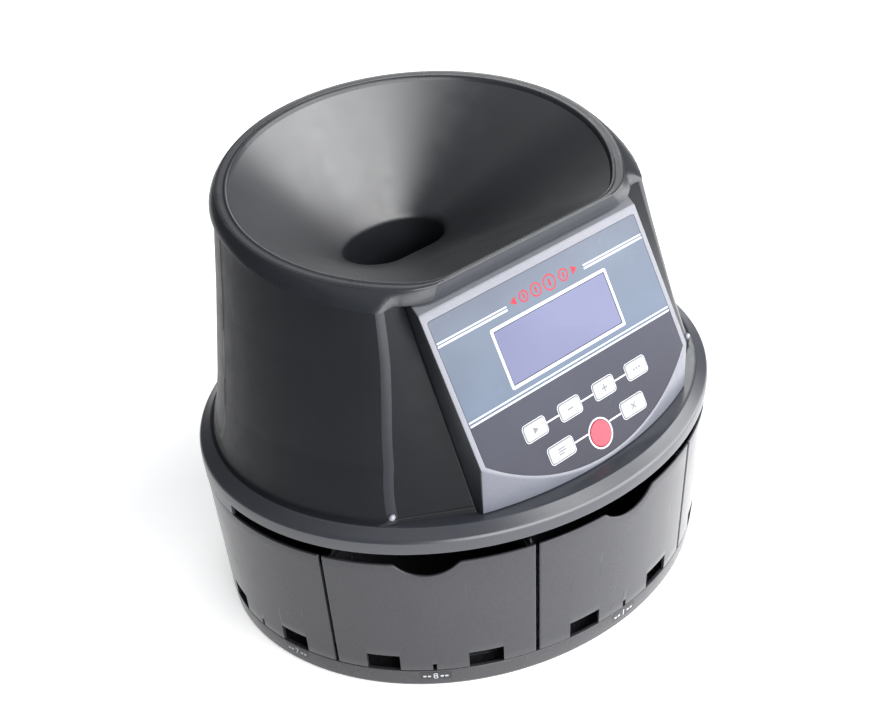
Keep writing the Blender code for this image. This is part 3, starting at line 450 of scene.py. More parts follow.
# ------------------------------------------------------------------ base tray
def make_base():
    bm = bmesh.new()
    prof = soften([(0, 2.5), (166, 2.5), (166, 0.85), (170.4, 0.85), (171.3, 2.4), (172.2, 14.1), (169.4, 14.1), (169.2, 5.5), (152, 5.5), (152, 28.0), (149.6, 28.0),
                   (149.6, 5.5), (101.4, 5.5), (101.4, 28.0), (99, 28.0), (99, 5.5), (0.4, 5.5)], 0.55)
    rows = lathe_rows(prof[1:], 256, oval_point)
    vr = skin(bm, rows)
    cap(bm, vr[0])
    cap(bm, vr[-1])
    ob = from_bm("base_tray_skin", bm, M["ring"])
    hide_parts("base_tray")
    bm = bmesh.new()
    prof = soften([(58, 60), (58, 104.0), (55, 104.0), (55, 5.8), (58, 5.8), (58, 60)], 0.5)
    skin(bm, lathe_rows(prof[:-1], 160, oval_point), closed_v=True)
    ob = from_bm("column_skin", bm, M["inner"])
    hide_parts("centre_column")
    # upright walls between the bins
    for i in range(8):
        bm = bmesh.new()
        a = rad(45 * (i + 0.5))
        t = (cos(a), sin(a))
        ring = ((59, 28.5), (163, 28.5), (164, 30.5), (164, 96.0), (162.5, 97.5), (59, 97.5))
        rows = []
        for sd, inset in ((-0.7, 0.3), (-0.45, 0.0), (0.45, 0.0), (0.7, 0.3)):
            row = []
            for r, z in ring:
                rr, zz = r - (inset if r > 100 else 0), z - (inset if z > 50 else 0)
                x, y = rr * sin(a) + sd * t[0], -rr * cos(a) + sd * t[1]
                row.append((x, y * (OVAL if y < 0 else REAR_OVAL), zz))
            rows.append(row)
        vr = skin(bm, rows)
        cap(bm, vr[0])
        cap(bm, vr[-1])
        ob = from_bm("divider_skin_%d" % (i + 1), bm, M["inner"])
        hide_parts("divider_%d" % (i + 1))


make_base()


# ------------------------------------------------------------------ figures on the ring
def flat_text(word, size):
    """Outline of a word as a mesh, in millimetres, centred."""
    cu = bpy.data.curves.new("t", "FONT")
    cu.body = word
    cu.size = size
    cu.align_x, cu.align_y = "CENTER", "CENTER"
    cu.resolution_u = 3
    ob = bpy.data.objects.new("t", cu)
    bpy.context.scene.collection.objects.link(ob)
    bpy.context.view_layer.update()
    me = bpy.data.meshes.new_from_object(ob.evaluated_get(bpy.context.evaluated_depsgraph_get()))
    bpy.data.objects.remove(ob, do_unlink=True)
    bpy.data.curves.remove(cu)
    return me


def on_ring(bm, a0, lift):
    """Wraps flat geometry (mm) round the base ring at azimuth a0."""
    for v in bm.verts:
        z = 9.1 + v.co.y
        v.co = Vector(P(*oval_point(171.2 + (z - 4.0) * 0.1 + lift + v.co.z, a0 + v.co.x / 172.0, z)))


def ring_numbers():
    for i, deg in enumerate((0, 45, 79, 113, 180, 247, 281, 315)):
        a0 = rad(deg)
        bm = bmesh.new()
        n = 12
        top, low = [], []
        for k in range(n + 1):
            x = -10.5 + 21 * k / n
            h = 3.7 if 0 < k < n else 3.0
            top.append(bm.verts.new((x, h, 0.03)))
            low.append(bm.verts.new((x, -h, 0.03)))
        for k in range(n):
            bm.faces.new((low[k], low[k + 1], top[k + 1], top[k]))
        ext = bmesh.ops.extrude_face_region(bm, geom=list(bm.faces))
        for g in ext["geom"]:
            if isinstance(g, bmesh.types.BMVert):
                g.co.z = 0.16
        on_ring(bm, a0, 0.0)
        from_bm("bin_label_%d" % (i + 1), bm, M["label"], "chassis", 30)
        me = flat_text(str(i + 1), 7.2)
        bm = bmesh.new()
        bm.from_mesh(me)
        # two short bars either side of the numeral
        for sx in (-1, 1):
            for k in range(2):
                x0 = sx * (4.2 + 3.0 * k)
                c = [(x0 - 1.0, -0.7), (x0 + 1.0, -0.7), (x0 + 1.0, 0.7), (x0 - 1.0, 0.7)]
                bm.faces.new([bm.verts.new((p[0], p[1], 0)) for p in c])
        for v in bm.verts:
            v.co.z = 0.0
        on_ring(bm, a0, 0.22)
        bmesh.ops.recalc_face_normals(bm, faces=bm.faces)
        out = bpy.data.meshes.new("bin_number_%d" % (i + 1))
        bm.to_mesh(out)
        bm.free()
        c = Vector((sin(a0), -cos(a0), 0))
        if out.polygons and out.polygons[0].normal.dot(c) < 0:
            out.flip_normals()
        bpy.data.meshes.remove(me)
        new_object("bin_number_%d" % (i + 1), out, M["print_white"])


ring_numbers()


# ------------------------------------------------------------------ coin bins
Z0, ZT = 14.7, 103.7
R0, R1 = 172.3, 177.0


def front_r(z):
    return R0 + (R1 - R0) * (z - Z0) / (ZT - Z0)


def make_bin(index):
    a0 = rad(45 * (index - 1))
    half = rad(22.5) - math.asin(1.2 / 174)
    body = "bin_%d" % index
    notch = index in (1, 2, 8)

    def top(a):
        if not notch:
            return ZT
        s = abs(a) * 174
        d = math.sqrt(max(0.0, 26.7 ** 2 - s * s)) - 17.5
        return ZT - 0.5 * (d + math.sqrt(d * d + 0.5))

    def low(a):
        d = abs(math.degrees(a))
        if 7.45 < d < 14.9:
            return 26.8
        if abs(a) * 172 < 1.3:
            return 19.8
        return Z0

    cuts = [7.45, 14.9, math.degrees(1.3 / 172)]
    jumps = sorted([rad(s * c) for c in cuts for s in (-1, 1)])
    n = 96
    az = [-half + 2 * half * i / n for i in range(n + 1)]
    # edge softening at both ends
    az = sorted(az + [-half + 0.0022, half - 0.0022, -half + 0.0045, half - 0.0045])
    cols = []
    for a in az:
        if all(abs(a - j) > 0.0012 for j in jumps):
            cols.append((a, low(a)))
    for j in jumps:
        cols += [(j - 1e-9, low(j - 1e-5)), (j + 1e-9, low(j + 1e-5))]
    cols.sort(key=lambda c: c[0])
    th = 1.8
    bm = bmesh.new()
    rows = []
    for a, zb in cols:
        zt = top(a)
        edge = max(0.0, 0.0045 - min(half - a, a + half)) / 0.0045       # 1 at the very end
        pull = 0.55 * edge * edge
        loop = []
        loop.append((front_r(zb) - th, zb))
        loop.append((front_r(zb) - 0.45, zb))
        loop.append((front_r(zb) - 0.10 - pull, zb + 0.15))
        k = 14
        for i in range(k + 1):
            z = zb + 0.5 + (zt - 0.75 - zb - 0.5) * i / k
            loop.append((front_r(z) - pull, z))
        loop.append((front_r(zt) - 0.12 - pull, zt - 0.32))
        loop.append((front_r(zt) - 0.36 - pull, zt - 0.10))
        loop.append((front_r(zt) - 0.70, zt))
        loop.append((front_r(zt) - th + 0.35, zt))
        loop.append((front_r(zt) - th, zt - 0.35))
        rows.append([oval_point(r, a + a0, z) for r, z in loop])
    vr = skin(bm, rows)
    cap(bm, vr[0])
    cap(bm, vr[-1])
    bmesh.ops.remove_doubles(bm, verts=bm.verts, dist=1e-7)
    front = from_bm("drawer_front_%d" % index, bm, M["drawer"], body, 30)
    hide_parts("drawer_%d" % index)
    # the tray behind the front
    bm = bmesh.new()

    def sector(r_in, r_out, off, z, n=20, kin=6):
        pts = []
        lim = lambda r: rad(22.5) - math.asin(off / r)
        A = lim(r_out)
        for i in range(n + 1):
            t = -A + 2 * A * i / n
            pts.append(oval_point(r_out, t + a0, z))
        A = lim(r_in)
        for i in range(kin + 1):
            t = A - 2 * A * i / kin
            pts.append(oval_point(r_in, t + a0, z))
        return pts

    ro = lambda z: front_r(z) - th - 0.05
    outer = [sector(62.3, ro(29) - 0.3, 1.6, 28.4), sector(62.0, ro(29), 1.25, 28.8)]
    outer += [sector(62.0, ro(z), 1.25, z) for z in (50, 75, 92.0)]
    outer += [sector(62.0, ro(93.6), 1.25, 93.6), sector(62.3, ro(94), 1.5, 94.0)]
    inner = [sector(63.5, ro(94) - 0.2, 2.8, 94.0), sector(63.8, ro(93.6) - 0.3, 3.0, 93.6)]
    inner += [sector(63.8, ro(z) - 0.3, 3.0, z) for z in (75, 50, 33)]
    inner += [sector(65.0, ro(31) - 1.4, 4.2, 30.9), sector(68.0, ro(30.4) - 4.0, 7.0, 30.4)]
    vr = skin(bm, outer + inner)
    cap(bm, vr[0])
    cap(bm, vr[-1])
    from_bm("drawer_tray_%d" % index, bm, M["drawer"], body, 40)


for d in range(1, 9):
    make_bin(d)


# ------------------------------------------------------------------ housing: cone with niche and facets
def facet_y(x, z):
    back = 0.65 - 5.27e-5 * max(0.0, z - SHOULDER_Z) ** 2
    return -116.4 + 0.4404 * (z - 128.6) + back * (abs(x) - NICHE_X)


def mid_y(z):
    return -87.5 + 0.207 * (z - 127.0)


def cone_radius(z, inset=0.0):
    return lerp_table(CONE, z) - inset


def rear_step(a, z, r):
    """The rear panel stands a little inside the front one; its lower corners are rounded."""
    s = (abs(math.degrees(a)) - 105.0) * r * 0.01745
    h = z - 134.5
    rc = 13.0
    dx, dz = rc - s, rc - h
    if dx > 0 and dz > 0:
        d = rc - math.hypot(dx, dz)
    else:
        d = min(s, h)
    return 1.0 * smooth((d + 1.1) / 2.2) - 0.35 * math.exp(-((d + 1.6) / 0.9) ** 2)


def half_contour(z, inset=0.0):
    """Plan points of the right-hand half at height z, from the niche's middle to the rear."""
    w = NICHE_X + inset
    f = lambda x: facet_y(x, z) + inset * 1.25
    m = mid_y(z) + inset
    R = cone_radius(z, inset)

    def E(a):
        x, y, _ = shell_point(R, a, z)
        return x, y
    lo, hi = rad(32), rad(100)
    for _ in range(40):
        mid = (lo + hi) / 2
        x, y = E(mid)
        if y < f(x):
            lo = mid
        else:
            hi = mid
    A = (lo + hi) / 2
    C = Vector(E(A))
    # crease rounding
    rad_c = 3.1
    dA = rad_c / R
    p_arc = Vector(E(A + dA))
    d = Vector((w, f(w))) - C
    p_fac = C + d.normalized() * rad_c
    pts = []
    for i in range(5):
        t = i / 5
        pts.append((w * t * 0.985, m))
    pts += [(w - 1.4, m), (w - 0.4, m - 0.4), (w, m - 1.4)]
    corner = Vector((w, f(w)))
    for t in (0.4, 0.8):
        pts.append((w, m + (corner.y - m) * t))
    cr = 0.9
    q0, q1 = Vector((w, corner.y + cr)), corner - d.normalized() * cr
    for j in range(4):
        t = j / 3
        pts.append(tuple((1 - t) ** 2 * q0 + 2 * t * (1 - t) * corner + t * t * q1))
    for j in range(1, 10):
        t = j / 10
        pts.append(tuple(q1 + (p_fac - q1) * t))
    for j in range(7):
        t = j / 6
        flat_pt = p_fac + (p_arc - p_fac) * t
        curve = (1 - t) ** 2 * p_fac + 2 * t * (1 - t) * C + t * t * p_arc
        pts.append(tuple(flat_pt * 0.3 + curve * 0.7))
    n = 150
    for j in range(1, n + 1):
        a = A + dA + (math.pi - A - dA) * j / n
        if inset == 0.0:
            x, y, _ = shell_point(R - rear_step(a, z, R), a, z)
        else:
            x, y = E(a)
        pts.append((x, y))
    return pts


def full_contour(z, inset=0.0):
    h = half_contour(z, inset)
    left = [(-x, y) for x, y in h[1:-1]][::-1]
    return h + left


def make_cone():
    zs = [0.0, 0.0026, 0.006, 0.012, 0.02, 0.03]
    k = 84
    zs += [0.03 + 0.97 * i / k for i in range(1, k + 1)]
    drop = 7.6
    z_low = 126.0
    bm = bmesh.new()
    base = full_contour(200.0)
    n = len(base)

    def row(t, inset):
        low = [2.6 if min(i, n - i) <= 8 else 0.0 for i in range(n)]
        tops = [RIM_Z + RIM_SLOPE * p[1] - drop - q for p, q in zip(base, low)]
        cache = {}
        z = [z_low + t * (tz - z_low) for tz in tops]
        pts = None
        for _ in range(3):
            pts = []
            for i in range(n):
                key = round(z[i], 1) if t > 0.05 else round(z[i], 2)
                if key not in cache:
                    cache[key] = full_contour(key, inset)
                pts.append(cache[key][i])
            z = [z_low + t * (RIM_Z + RIM_SLOPE * p[1] - drop - q - z_low) for p, q in zip(pts, low)]
        return [(p[0], p[1], zz) for p, zz in zip(pts, z)]
    outer = [row(t, 0.0) for t in zs]
    inner = [row(t, 3.2) for t in (1.0, 0.66, 0.33, 0.02)]
    skin(bm, outer + inner, closed_v=True)
    bm.faces.ensure_lookup_table()
    # crease columns take the lighter copy (painted highlight), facet columns the darker copy (painted shade)
    for i, f in enumerate(bm.faces):
        col, lev = i % n, i // n
        if lev < len(outer) - 1 and (23 <= col < 29 or n - 29 <= col < n - 23):
            f.material_index = 1
        elif lev < len(outer) - 1 and (13 <= col < 23 or n - 23 <= col < n - 13):
            f.material_index = 2
    # window of the rear recess
    for co, no in (((-POCKET_X, 0, 0), (1, 0, 0)), ((POCKET_X, 0, 0), (1, 0, 0)), ((0, 0, 132), (0, 0, 1)), ((0, 0, 172), (0, 0, 1))):
        back = [f for f in bm.faces if f.calc_center_median().y > 0.08]
        geom = back + list({e for f in back for e in f.edges}) + list({v for f in back for v in f.verts})
        bmesh.ops.bisect_plane(bm, geom=geom, dist=1e-7, plane_co=[c * .001 for c in co], plane_no=no)
    gone = []
    for f in bm.faces:
        c = f.calc_center_median()
        if c.y > 0.08 and abs(c.x) < POCKET_X * .001 and 0.132 < c.z < 0.172:
            gone.append(f)
    bmesh.ops.delete(bm, geom=gone, context="FACES")
    ob = from_bm("housing_cone", bm, [M["body"], M["crease"], M["facet"]], None, 40)
    shade(ob.data, 40)
    sharp_between(ob.data)
    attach(ob, "chassis")
    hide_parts("upper_housing")
    # the recess's own walls and floor
    bm = bmesh.new()
    w, z0, z1, yf = POCKET_X, 132.0, 172.0, POCKET_Y
    rows = []
    for grow, y in ((0.0, 147.0), (0.0, yf + 3.0), (-0.5, yf + 0.8), (-1.6, yf)):
        rows.append([(p[0], y, p[1]) for p in rounded([(-w - grow, z0 - grow), (w + grow, z0 - grow), (w + grow, z1 + grow), (-w - grow, z1 + grow)], 3.4, 5)])
    back = []
    for grow, y in ((2.0, yf - 2.4), (2.0, 141.0)):
        back.append([(p[0], y, p[1]) for p in rounded([(-w - grow, z0 - grow), (w + grow, z0 - grow), (w + grow, z1 + grow), (-w - grow, z1 + grow)], 4.5, 5)])
    # keep the mouth flush with the curved wall
    def trim(pt, off):
        x, y, z = pt
        R = cone_radius(z) - 1.0
        s = min(1.0, abs(x) / R)
        yw = CONE_REAR * math.sqrt(max(0.0, R * R - x * x)) + LEAN * max(0.0, z - 127) - off
        return (x, min(y, yw), z)
    rows = [[trim(p, 0.25) for p in rows[0]]] + rows[1:]
    back = [back[0], [trim(p, 2.0) for p in back[1]]]
    vr = skin(bm, rows + back, closed_v=False)
    skin_close = [vr[0], vr[-1]]
    m = len(vr[0])
    for i in range(m):
        j = (i + 1) % m
        try:
            bm.faces.new((skin_close[1][i], skin_close[1][j], skin_close[0][j], skin_close[0][i]))
        except ValueError:
            pass
    cap(bm, vr[3])
    # window in its floor that the rocker's body passes through, under the switch's frame
    rlo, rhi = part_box("power_rocker")
    x0, x1, z0w, z1w = rlo[0] - 0.0004, rhi[0] + 0.0004, rlo[2] - 0.0004, rhi[2] + 0.0004
    yw = P(0, yf, 0)[1]
    for co, no in (((x0, 0, 0), (1, 0, 0)), ((x1, 0, 0), (1, 0, 0)), ((0, 0, z0w), (0, 0, 1)), ((0, 0, z1w), (0, 0, 1))):
        fl = [f for f in bm.faces if all(abs(v.co.y - yw) < 5e-5 for v in f.verts)]
        geom = fl + list({e for f in fl for e in f.edges}) + list({v for f in fl for v in f.verts})
        bmesh.ops.bisect_plane(bm, geom=geom, dist=1e-7, plane_co=co, plane_no=no)
    gone = []
    for f in bm.faces:
        c = f.calc_center_median()
        if all(abs(v.co.y - yw) < 5e-5 for v in f.verts) and x0 < c.x < x1 and z0w < c.z < z1w:
            gone.append(f)
    bmesh.ops.delete(bm, geom=gone, context="FACES")
    ob2 = from_bm("rear_recess", bm, M["body"], None, 40)
    bmx = bmesh.new()
    bmx.from_mesh(ob2.data)
    bmesh.ops.remove_doubles(bmx, verts=bmx.verts, dist=1e-7)
    bmx.to_mesh(ob2.data)
    bmx.free()
    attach(ob2, "chassis")


def apply_boolean(ob, other, how="DIFFERENCE"):
    m = ob.modifiers.new("cut", "BOOLEAN")
    m.operation, m.solver, m.object = how, "EXACT", other
    bpy.context.view_layer.update()
    me = bpy.data.meshes.new_from_object(ob.evaluated_get(bpy.context.evaluated_depsgraph_get()))
    old = ob.data
    ob.modifiers.clear()
    ob.data = me
    bpy.data.meshes.remove(old)
    bpy.data.objects.remove(other, do_unlink=True)


make_cone()


def crease_point(z, inset=0.0):
    """Where the cone meets the slanted facet at height z: x, y on the right-hand side."""
    R = cone_radius(z, inset)
    lo, hi = rad(32), rad(100)
    for _ in range(40):
        mid = (lo + hi) / 2
        x, y, _z = shell_point(R, mid, z)
        if y < facet_y(x, z):
            lo = mid
        else:
            hi = mid
    x, y, _z = shell_point(R, lo, z)
    return x, y


def make_crease_feet():
    z = 130.0
    cx, cy = crease_point(z)
    for side, sx in (("left", -1), ("right", 1)):
        # small rounded bead at the foot of each crease, coloured light as a painted highlight
        bm = bmesh.new()
        prof = [(0.05, 1.9), (0.75, 1.75), (1.3, 1.3), (1.65, 0.6), (1.75, -0.3), (1.5, -1.3)]
        rows = []
        for r, h in prof:
            rows.append([(sx * (cx + r * 1.25 * cos(math.tau * i / 32)), cy + r * sin(math.tau * i / 32), 130.2 + h) for i in range(32)])
        vr = skin(bm, rows)
        cap(bm, vr[0])
        cap(bm, vr[-1])
        from_bm("crease_foot_painted_highlight_" + side, bm, M["stop"], "chassis", 60)
        # near-black strip along the facet's foot: a painted shadow
        bm = bmesh.new()
        rows = []
        n = 24
        for k in range(n + 1):
            t = k / n
            zz = 128.8
            x = NICHE_X + 0.4 + (cx - 1.6 - NICHE_X) * t
            y = facet_y(x, zz)
            rise = 0.9 * (1 - t)
            rows.append([(sx * x, y - 0.35, 128.3), (sx * x, y - 0.35, 129.1 + rise), (sx * x, y + 0.5, 129.1 + rise), (sx * x, y + 0.5, 128.3)])
        vr = skin(bm, rows)
        cap(bm, vr[0])
        cap(bm, vr[-1])
        from_bm("facet_foot_shadow_strip_" + side, bm, M["seam"], "chassis", 30)


make_crease_feet()


def make_flange():
    bm = bmesh.new()
    prof = [(175.4, 118.0), (175.4, 112.2), (177.5, 112.2), (178.05, 112.9), (178.15, 116.5), (178.1, 120.3), (177.2, 121.7), (174.4, 123.2), (171.4, 124.9),
            (169.9, 125.8), (168.2, 126.0), (164.0, 126.0), (118.0, 126.0), (118.0, 123.5), (163.5, 123.4), (170.4, 121.6), (174.0, 120.2)]
    prof = soften(prof, 0.45, 3)
    rows = lathe_rows(prof, 320, shell_point)
    skin(bm, rows, closed_v=True)
    from_bm("housing_flange", bm, M["flange"], "chassis", 50)
    # deeper skirt over the rear half
    bm = bmesh.new()
    n = 120
    rows = []
    prof = [(175.6, 114.0), (175.6, 104.8), (176.0, 104.45), (177.0, 104.45), (177.5, 105.0), (177.7, 114.0)]
    for i in range(n + 1):
        a = rad(92.8 + (360 - 185.6) * i / n)
        rows.append([oval_point(r, a, z) for r, z in prof])
    vr = skin(bm, rows)
    cap(bm, vr[0])
    cap(bm, vr[-1])
    from_bm("housing_rear_skirt", bm, M["flange"], "chassis", 40)


make_flange()


# ------------------------------------------------------------------ hopper
def d_ring(rx, ry, yc, chord, fillet, height, n_arc=220, n_chord=24, n_fil=14):
    tc = math.acos((yc - chord) / ry)
    xc = rx * sin(tc)
    d = fillet / rx
    pts = []
    for i in range(n_chord + 1):
        pts.append((-(xc - fillet) + 2 * (xc - fillet) * i / n_chord, chord))
    t0 = tc + d
    start = (rx * sin(t0), yc - ry * cos(t0))
    a, b, c = (xc - fillet, chord), (xc, chord), start
    for i in range(1, n_fil):
        s = i / n_fil
        pts.append(tuple((1 - s) ** 2 * a[k] + 2 * s * (1 - s) * b[k] + s * s * c[k] for k in (0, 1)))
    for i in range(n_arc + 1):
        t = t0 + (math.tau - 2 * t0) * i / n_arc
        pts.append((rx * sin(t), yc - ry * cos(t)))
    a, b, c = (-start[0], start[1]), (-xc, chord), (-(xc - fillet), chord)
    for i in range(1, n_fil):
        s = i / n_fil
        pts.append(tuple((1 - s) ** 2 * a[k] + 2 * s * (1 - s) * b[k] + s * s * c[k] for k in (0, 1)))
    pts = [(x, y if y < yc else yc + (y - yc) * RIM_REAR) for x, y in pts]
    return [(x, y, height(x, y)) for x, y in pts]


def rim(drop):
    return lambda x, y: RIM_Z + RIM_SLOPE * y - drop


def flat(z):
    return lambda x, y: z


TH_X, TH_Y, TH_YC, TH_CHORD = 37.5, 26.0, 52.0, 29.0


CONTOURS = {}


def ray_contour(z, d):
    """Distance from the hopper's centre line to the housing's plan outline at height z."""
    key = round(z, 0)
    if key not in CONTOURS:
        CONTOURS[key] = full_contour(key)
    pts = CONTOURS[key]
    best = None
    o = Vector((0, RIM_YC))
    for i in range(len(pts)):
        a, b = Vector(pts[i]) - o, Vector(pts[(i + 1) % len(pts)]) - o
        e = b - a
        den = d.x * e.y - d.y * e.x
        if abs(den) < 1e-9:
            continue
        t = (a.x * e.y - a.y * e.x) / den
        u = (a.x * d.y - a.y * d.x) / den
        if t > 0 and -1e-6 <= u <= 1 + 1e-6 and (best is None or t > best):
            best = t
    return best


def make_hopper():
    k = RIM_OVAL

    def D(r, chord_off, drop, fillet=14):
        return d_ring(r, r * k, RIM_YC, CHORD_Y + chord_off, fillet, rim(drop))
    bm = bmesh.new()
    # rim: bead round the mouth, flat band, rounded outer edge, lip
    edge = D(134.3, -3.4, 0.0)
    low = []
    poly = full_contour(252.0)
    for x, y, z in D(138.3, -4.75, 7.6):
        # the lip's foot follows the housing's top edge wherever that stands further out
        ang = math.atan2(x, -(y - RIM_YC))
        rr = math.hypot(x, y - RIM_YC)
        zc = RIM_Z + RIM_SLOPE * y - 7.6
        if abs(math.degrees(ang)) > 30:
            d = Vector((sin(ang), -cos(ang)))
            best = None
            for _ in range(2):
                best = ray_contour(zc, d)
                if best is None:
                    break
                zc = RIM_Z + RIM_SLOPE * (RIM_YC + d.y * best) - 7.6
            if best is not None and best + 0.35 > rr:
                rr = best + 0.35
                x, y = d.x * rr, RIM_YC + d.y * rr
                z = RIM_Z + RIM_SLOPE * y - 7.6
        low.append((x, y, z))
    side = []
    for t, bulge in ((0.0, 0.0), (0.08, 0.25), (0.35, 0.62), (0.65, 0.55), (0.88, 0.22), (0.97, 0.0), (1.0, -0.1)):
        row = []
        for a, b in zip(low, edge):
            x, y, z = (a[j] + ((b[j] - (0.55 if j == 2 else 0)) - a[j]) * t for j in range(3))
            q = Vector((x, y - RIM_YC)).normalized() * bulge
            row.append((x + q.x, y + q.y, z + bulge * 0.4))
        side.append(row)
    rim_rows = side + [D(133.8, -3.25, 0.12), D(133.0, -3.0, 0.0), D(131.0, -2.4, 0.02), D(128.9, -1.7, 0.22), D(128.2, -1.45, 0.20), D(127.7, -1.25, 0.0),
                       D(127.0, -1.0, -0.06), D(126.3, -0.65, 0.05), D(125.7, -0.3, 0.5), D(125.2, -0.05, 1.4)]
    funnel_rows = []
    top = D(124.6, 0.35, 2.6)
    bot = d_ring(TH_X + 1.0, TH_Y + 1.0, TH_YC, TH_CHORD - 0.6, 6, flat(205.4))
    n = 26
    for i in range(n + 1):
        t = i / n
        row = []
        for a, b in zip(top, bot):
            row.append(tuple(a[j] + (b[j] - a[j]) * t for j in range(3)))
        funnel_rows.append(row)
    throat = [d_ring(TH_X + 0.3, TH_Y + 0.3, TH_YC, TH_CHORD - 0.1, 5, flat(204.0)), d_ring(TH_X, TH_Y, TH_YC, TH_CHORD, 5, flat(202.5)),
              d_ring(TH_X, TH_Y, TH_YC, TH_CHORD, 5, flat(170.0)), d_ring(TH_X, TH_Y, TH_YC, TH_CHORD, 5, flat(136.2)),
              d_ring(TH_X + 2.2, TH_Y + 2.2, TH_YC, TH_CHORD - 2, 6, flat(136.2)), d_ring(TH_X + 2.2, TH_Y + 2.2, TH_YC, TH_CHORD - 2, 6, flat(201.8))]
    under = [D(126.9, 4.2, 7.0), ]
    skin(bm, rim_rows + funnel_rows + throat + under, closed_v=True)
    bm.faces.ensure_lookup_table()
    nr = len(rim_rows)
    cols = len(top)
    # outer side rows take the darker rim copy (painted shade); at the front chord they and a few rim rows take lighter
    # copies (painted highlight)
    for i, f in enumerate(bm.faces):
        row, c = i // cols, i % cols
        front = all(edge[j][1] < CHORD_Y - 3.0 for j in (c, (c + 1) % cols))
        if row < 6:
            f.material_index = 3 if front else 2
        elif front and (row in (6, 7, 13, 14, 15)):
            f.material_index = 4
        else:
            f.material_index = 0 if row < nr else 1
    ob = from_bm("hopper_funnel_skin", bm, [M["rim"], M["funnel"], M["rim_side"], M["rim_front"], M["rim_edge"]], "chassis", 42)
    sharp_between(ob.data)
    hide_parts("hopper_funnel")


make_hopper()


# ------------------------------------------------------------------ console
ca, sa = cos(rad(PANEL_DEG)), sin(rad(PANEL_DEG))
PN = Vector((0, -sa, ca))


def Q(u, v, w):
    """Console face coordinates (mm): across, up the slope, out of the face."""
    return (u, PANEL_Y + v * ca - w * sa, PANEL_Z + v * sa + w * ca)


def raw_prism(name, outline, z0, z1):
    bm = bmesh.new()
    a = [bm.verts.new(P(x, y, z0)) for x, y in outline]
    b = [bm.verts.new(P(x, y, z1)) for x, y in outline]
    n = len(a)
    bm.faces.new(a)
    bm.faces.new(b)
    for i in range(n):
        j = (i + 1) % n
        bm.faces.new((a[i], a[j], b[j], b[i]))
    bmesh.ops.recalc_face_normals(bm, faces=bm.faces)
    me = bpy.data.meshes.new(name)
    bm.to_mesh(me)
    bm.free()
    ob = bpy.data.objects.new(name, me)
    bpy.context.scene.collection.objects.link(ob)
    return ob


def panel_prism_bm(outline, w0, w1, soft=0.0):
    """Closed plate on the console's face; soft rounds its outer edge."""
    bm = bmesh.new()
    c = Vector((sum(p[0] for p in outline) / len(outline), sum(p[1] for p in outline) / len(outline)))
    rows = [[(p[0], p[1], w0) for p in outline]]
    if soft:
        steps = 4
        for i in range(steps + 1):
            t = math.pi / 2 * i / steps
            ins, ww = soft * (1 - cos(t)), w1 - soft + soft * sin(t)
            rows.append([(*shrink(p, outline, k, ins), ww) for k, p in enumerate(outline)])
    else:
        rows.append([(p[0], p[1], w1) for p in outline])
    vr = []
    for row in rows:
        vr.append([bm.verts.new(P(*Q(*p))) for p in row])
    n = len(outline)
    for a, b in zip(vr[:-1], vr[1:]):
        for i in range(n):
            j = (i + 1) % n
            bm.faces.new((a[i], a[j], b[j], b[i]))
    bm.faces.new(vr[0])
    bm.faces.new(vr[-1])
    return bm


def shrink(p, outline, k, d):
    a, b = Vector(outline[k - 1]), Vector(outline[(k + 1) % len(outline)])
    t = (b - a).normalized()
    nrm = Vector((-t.y, t.x))
    area = sum(outline[i - 1][0] * outline[i][1] - outline[i][0] * outline[i - 1][1] for i in range(len(outline)))
    if area < 0:
        nrm = -nrm
    return (p[0] + nrm.x * d, p[1] + nrm.y * d)


def raw_panel(name, outline, w0, w1):
    bm = panel_prism_bm(outline, w0, w1)
    bmesh.ops.recalc_face_normals(bm, faces=bm.faces)
    me = bpy.data.meshes.new(name)
    bm.to_mesh(me)
    bm.free()
    ob = bpy.data.objects.new(name, me)
    bpy.context.scene.collection.objects.link(ob)
    return ob


def slice_off(ob, co, no):
    bm = bmesh.new()
    bm.from_mesh(ob.data)
    geom = list(bm.verts) + list(bm.edges) + list(bm.faces)
    bmesh.ops.bisect_plane(bm, geom=geom, dist=1e-7, plane_co=P(*co), plane_no=no, clear_outer=True)
    bmesh.ops.holes_fill(bm, edges=[e for e in bm.edges if e.is_boundary], sides=0)
    bmesh.ops.recalc_face_normals(bm, faces=bm.faces)
    bm.to_mesh(ob.data)
    bm.free()


BLOCK_X, BLOCK_TOP = 89.4, 245.2
BLOCK_Y_SIDE, BLOCK_Y_MID = -121.6, -138.4


def block_outline(inset, rear, n=48):
    pts = [(BLOCK_X - inset, rear), (-(BLOCK_X - inset), rear)]
    sag = BLOCK_Y_SIDE - BLOCK_Y_MID
    r = (BLOCK_X * BLOCK_X + sag * sag) / (2 * sag)
    for i in range(n + 1):
        x = -(BLOCK_X - inset) + 2 * (BLOCK_X - inset) * i / n
        pts.append((x, BLOCK_Y_MID + r - math.sqrt(r * r - x * x) + inset))
    return pts


OX, OT, OS, OL = 85.4, -8.3, -97.0, -129.9


def overlay_outline(grow, n=60, corner=1.6):
    sag = OS - OL
    r = (OX ** 2 + sag ** 2) / (2 * sag)
    xe = OX + grow
    top = [(xe, OS + 3.0), (xe, OT + grow - corner), (xe - corner * 0.3, OT + grow - corner * 0.3), (xe - corner, OT + grow),
           (-xe + corner, OT + grow), (-xe + corner * 0.3, OT + grow - corner * 0.3), (-xe, OT + grow - corner), (-xe, OS + 3.0)]
    pts = list(top)
    for i in range(n + 1):
        x = -xe + 2 * xe * i / n
        pts.append((x, OL + r - math.sqrt(max(0.0, r * r - x * x)) - grow))
    return pts


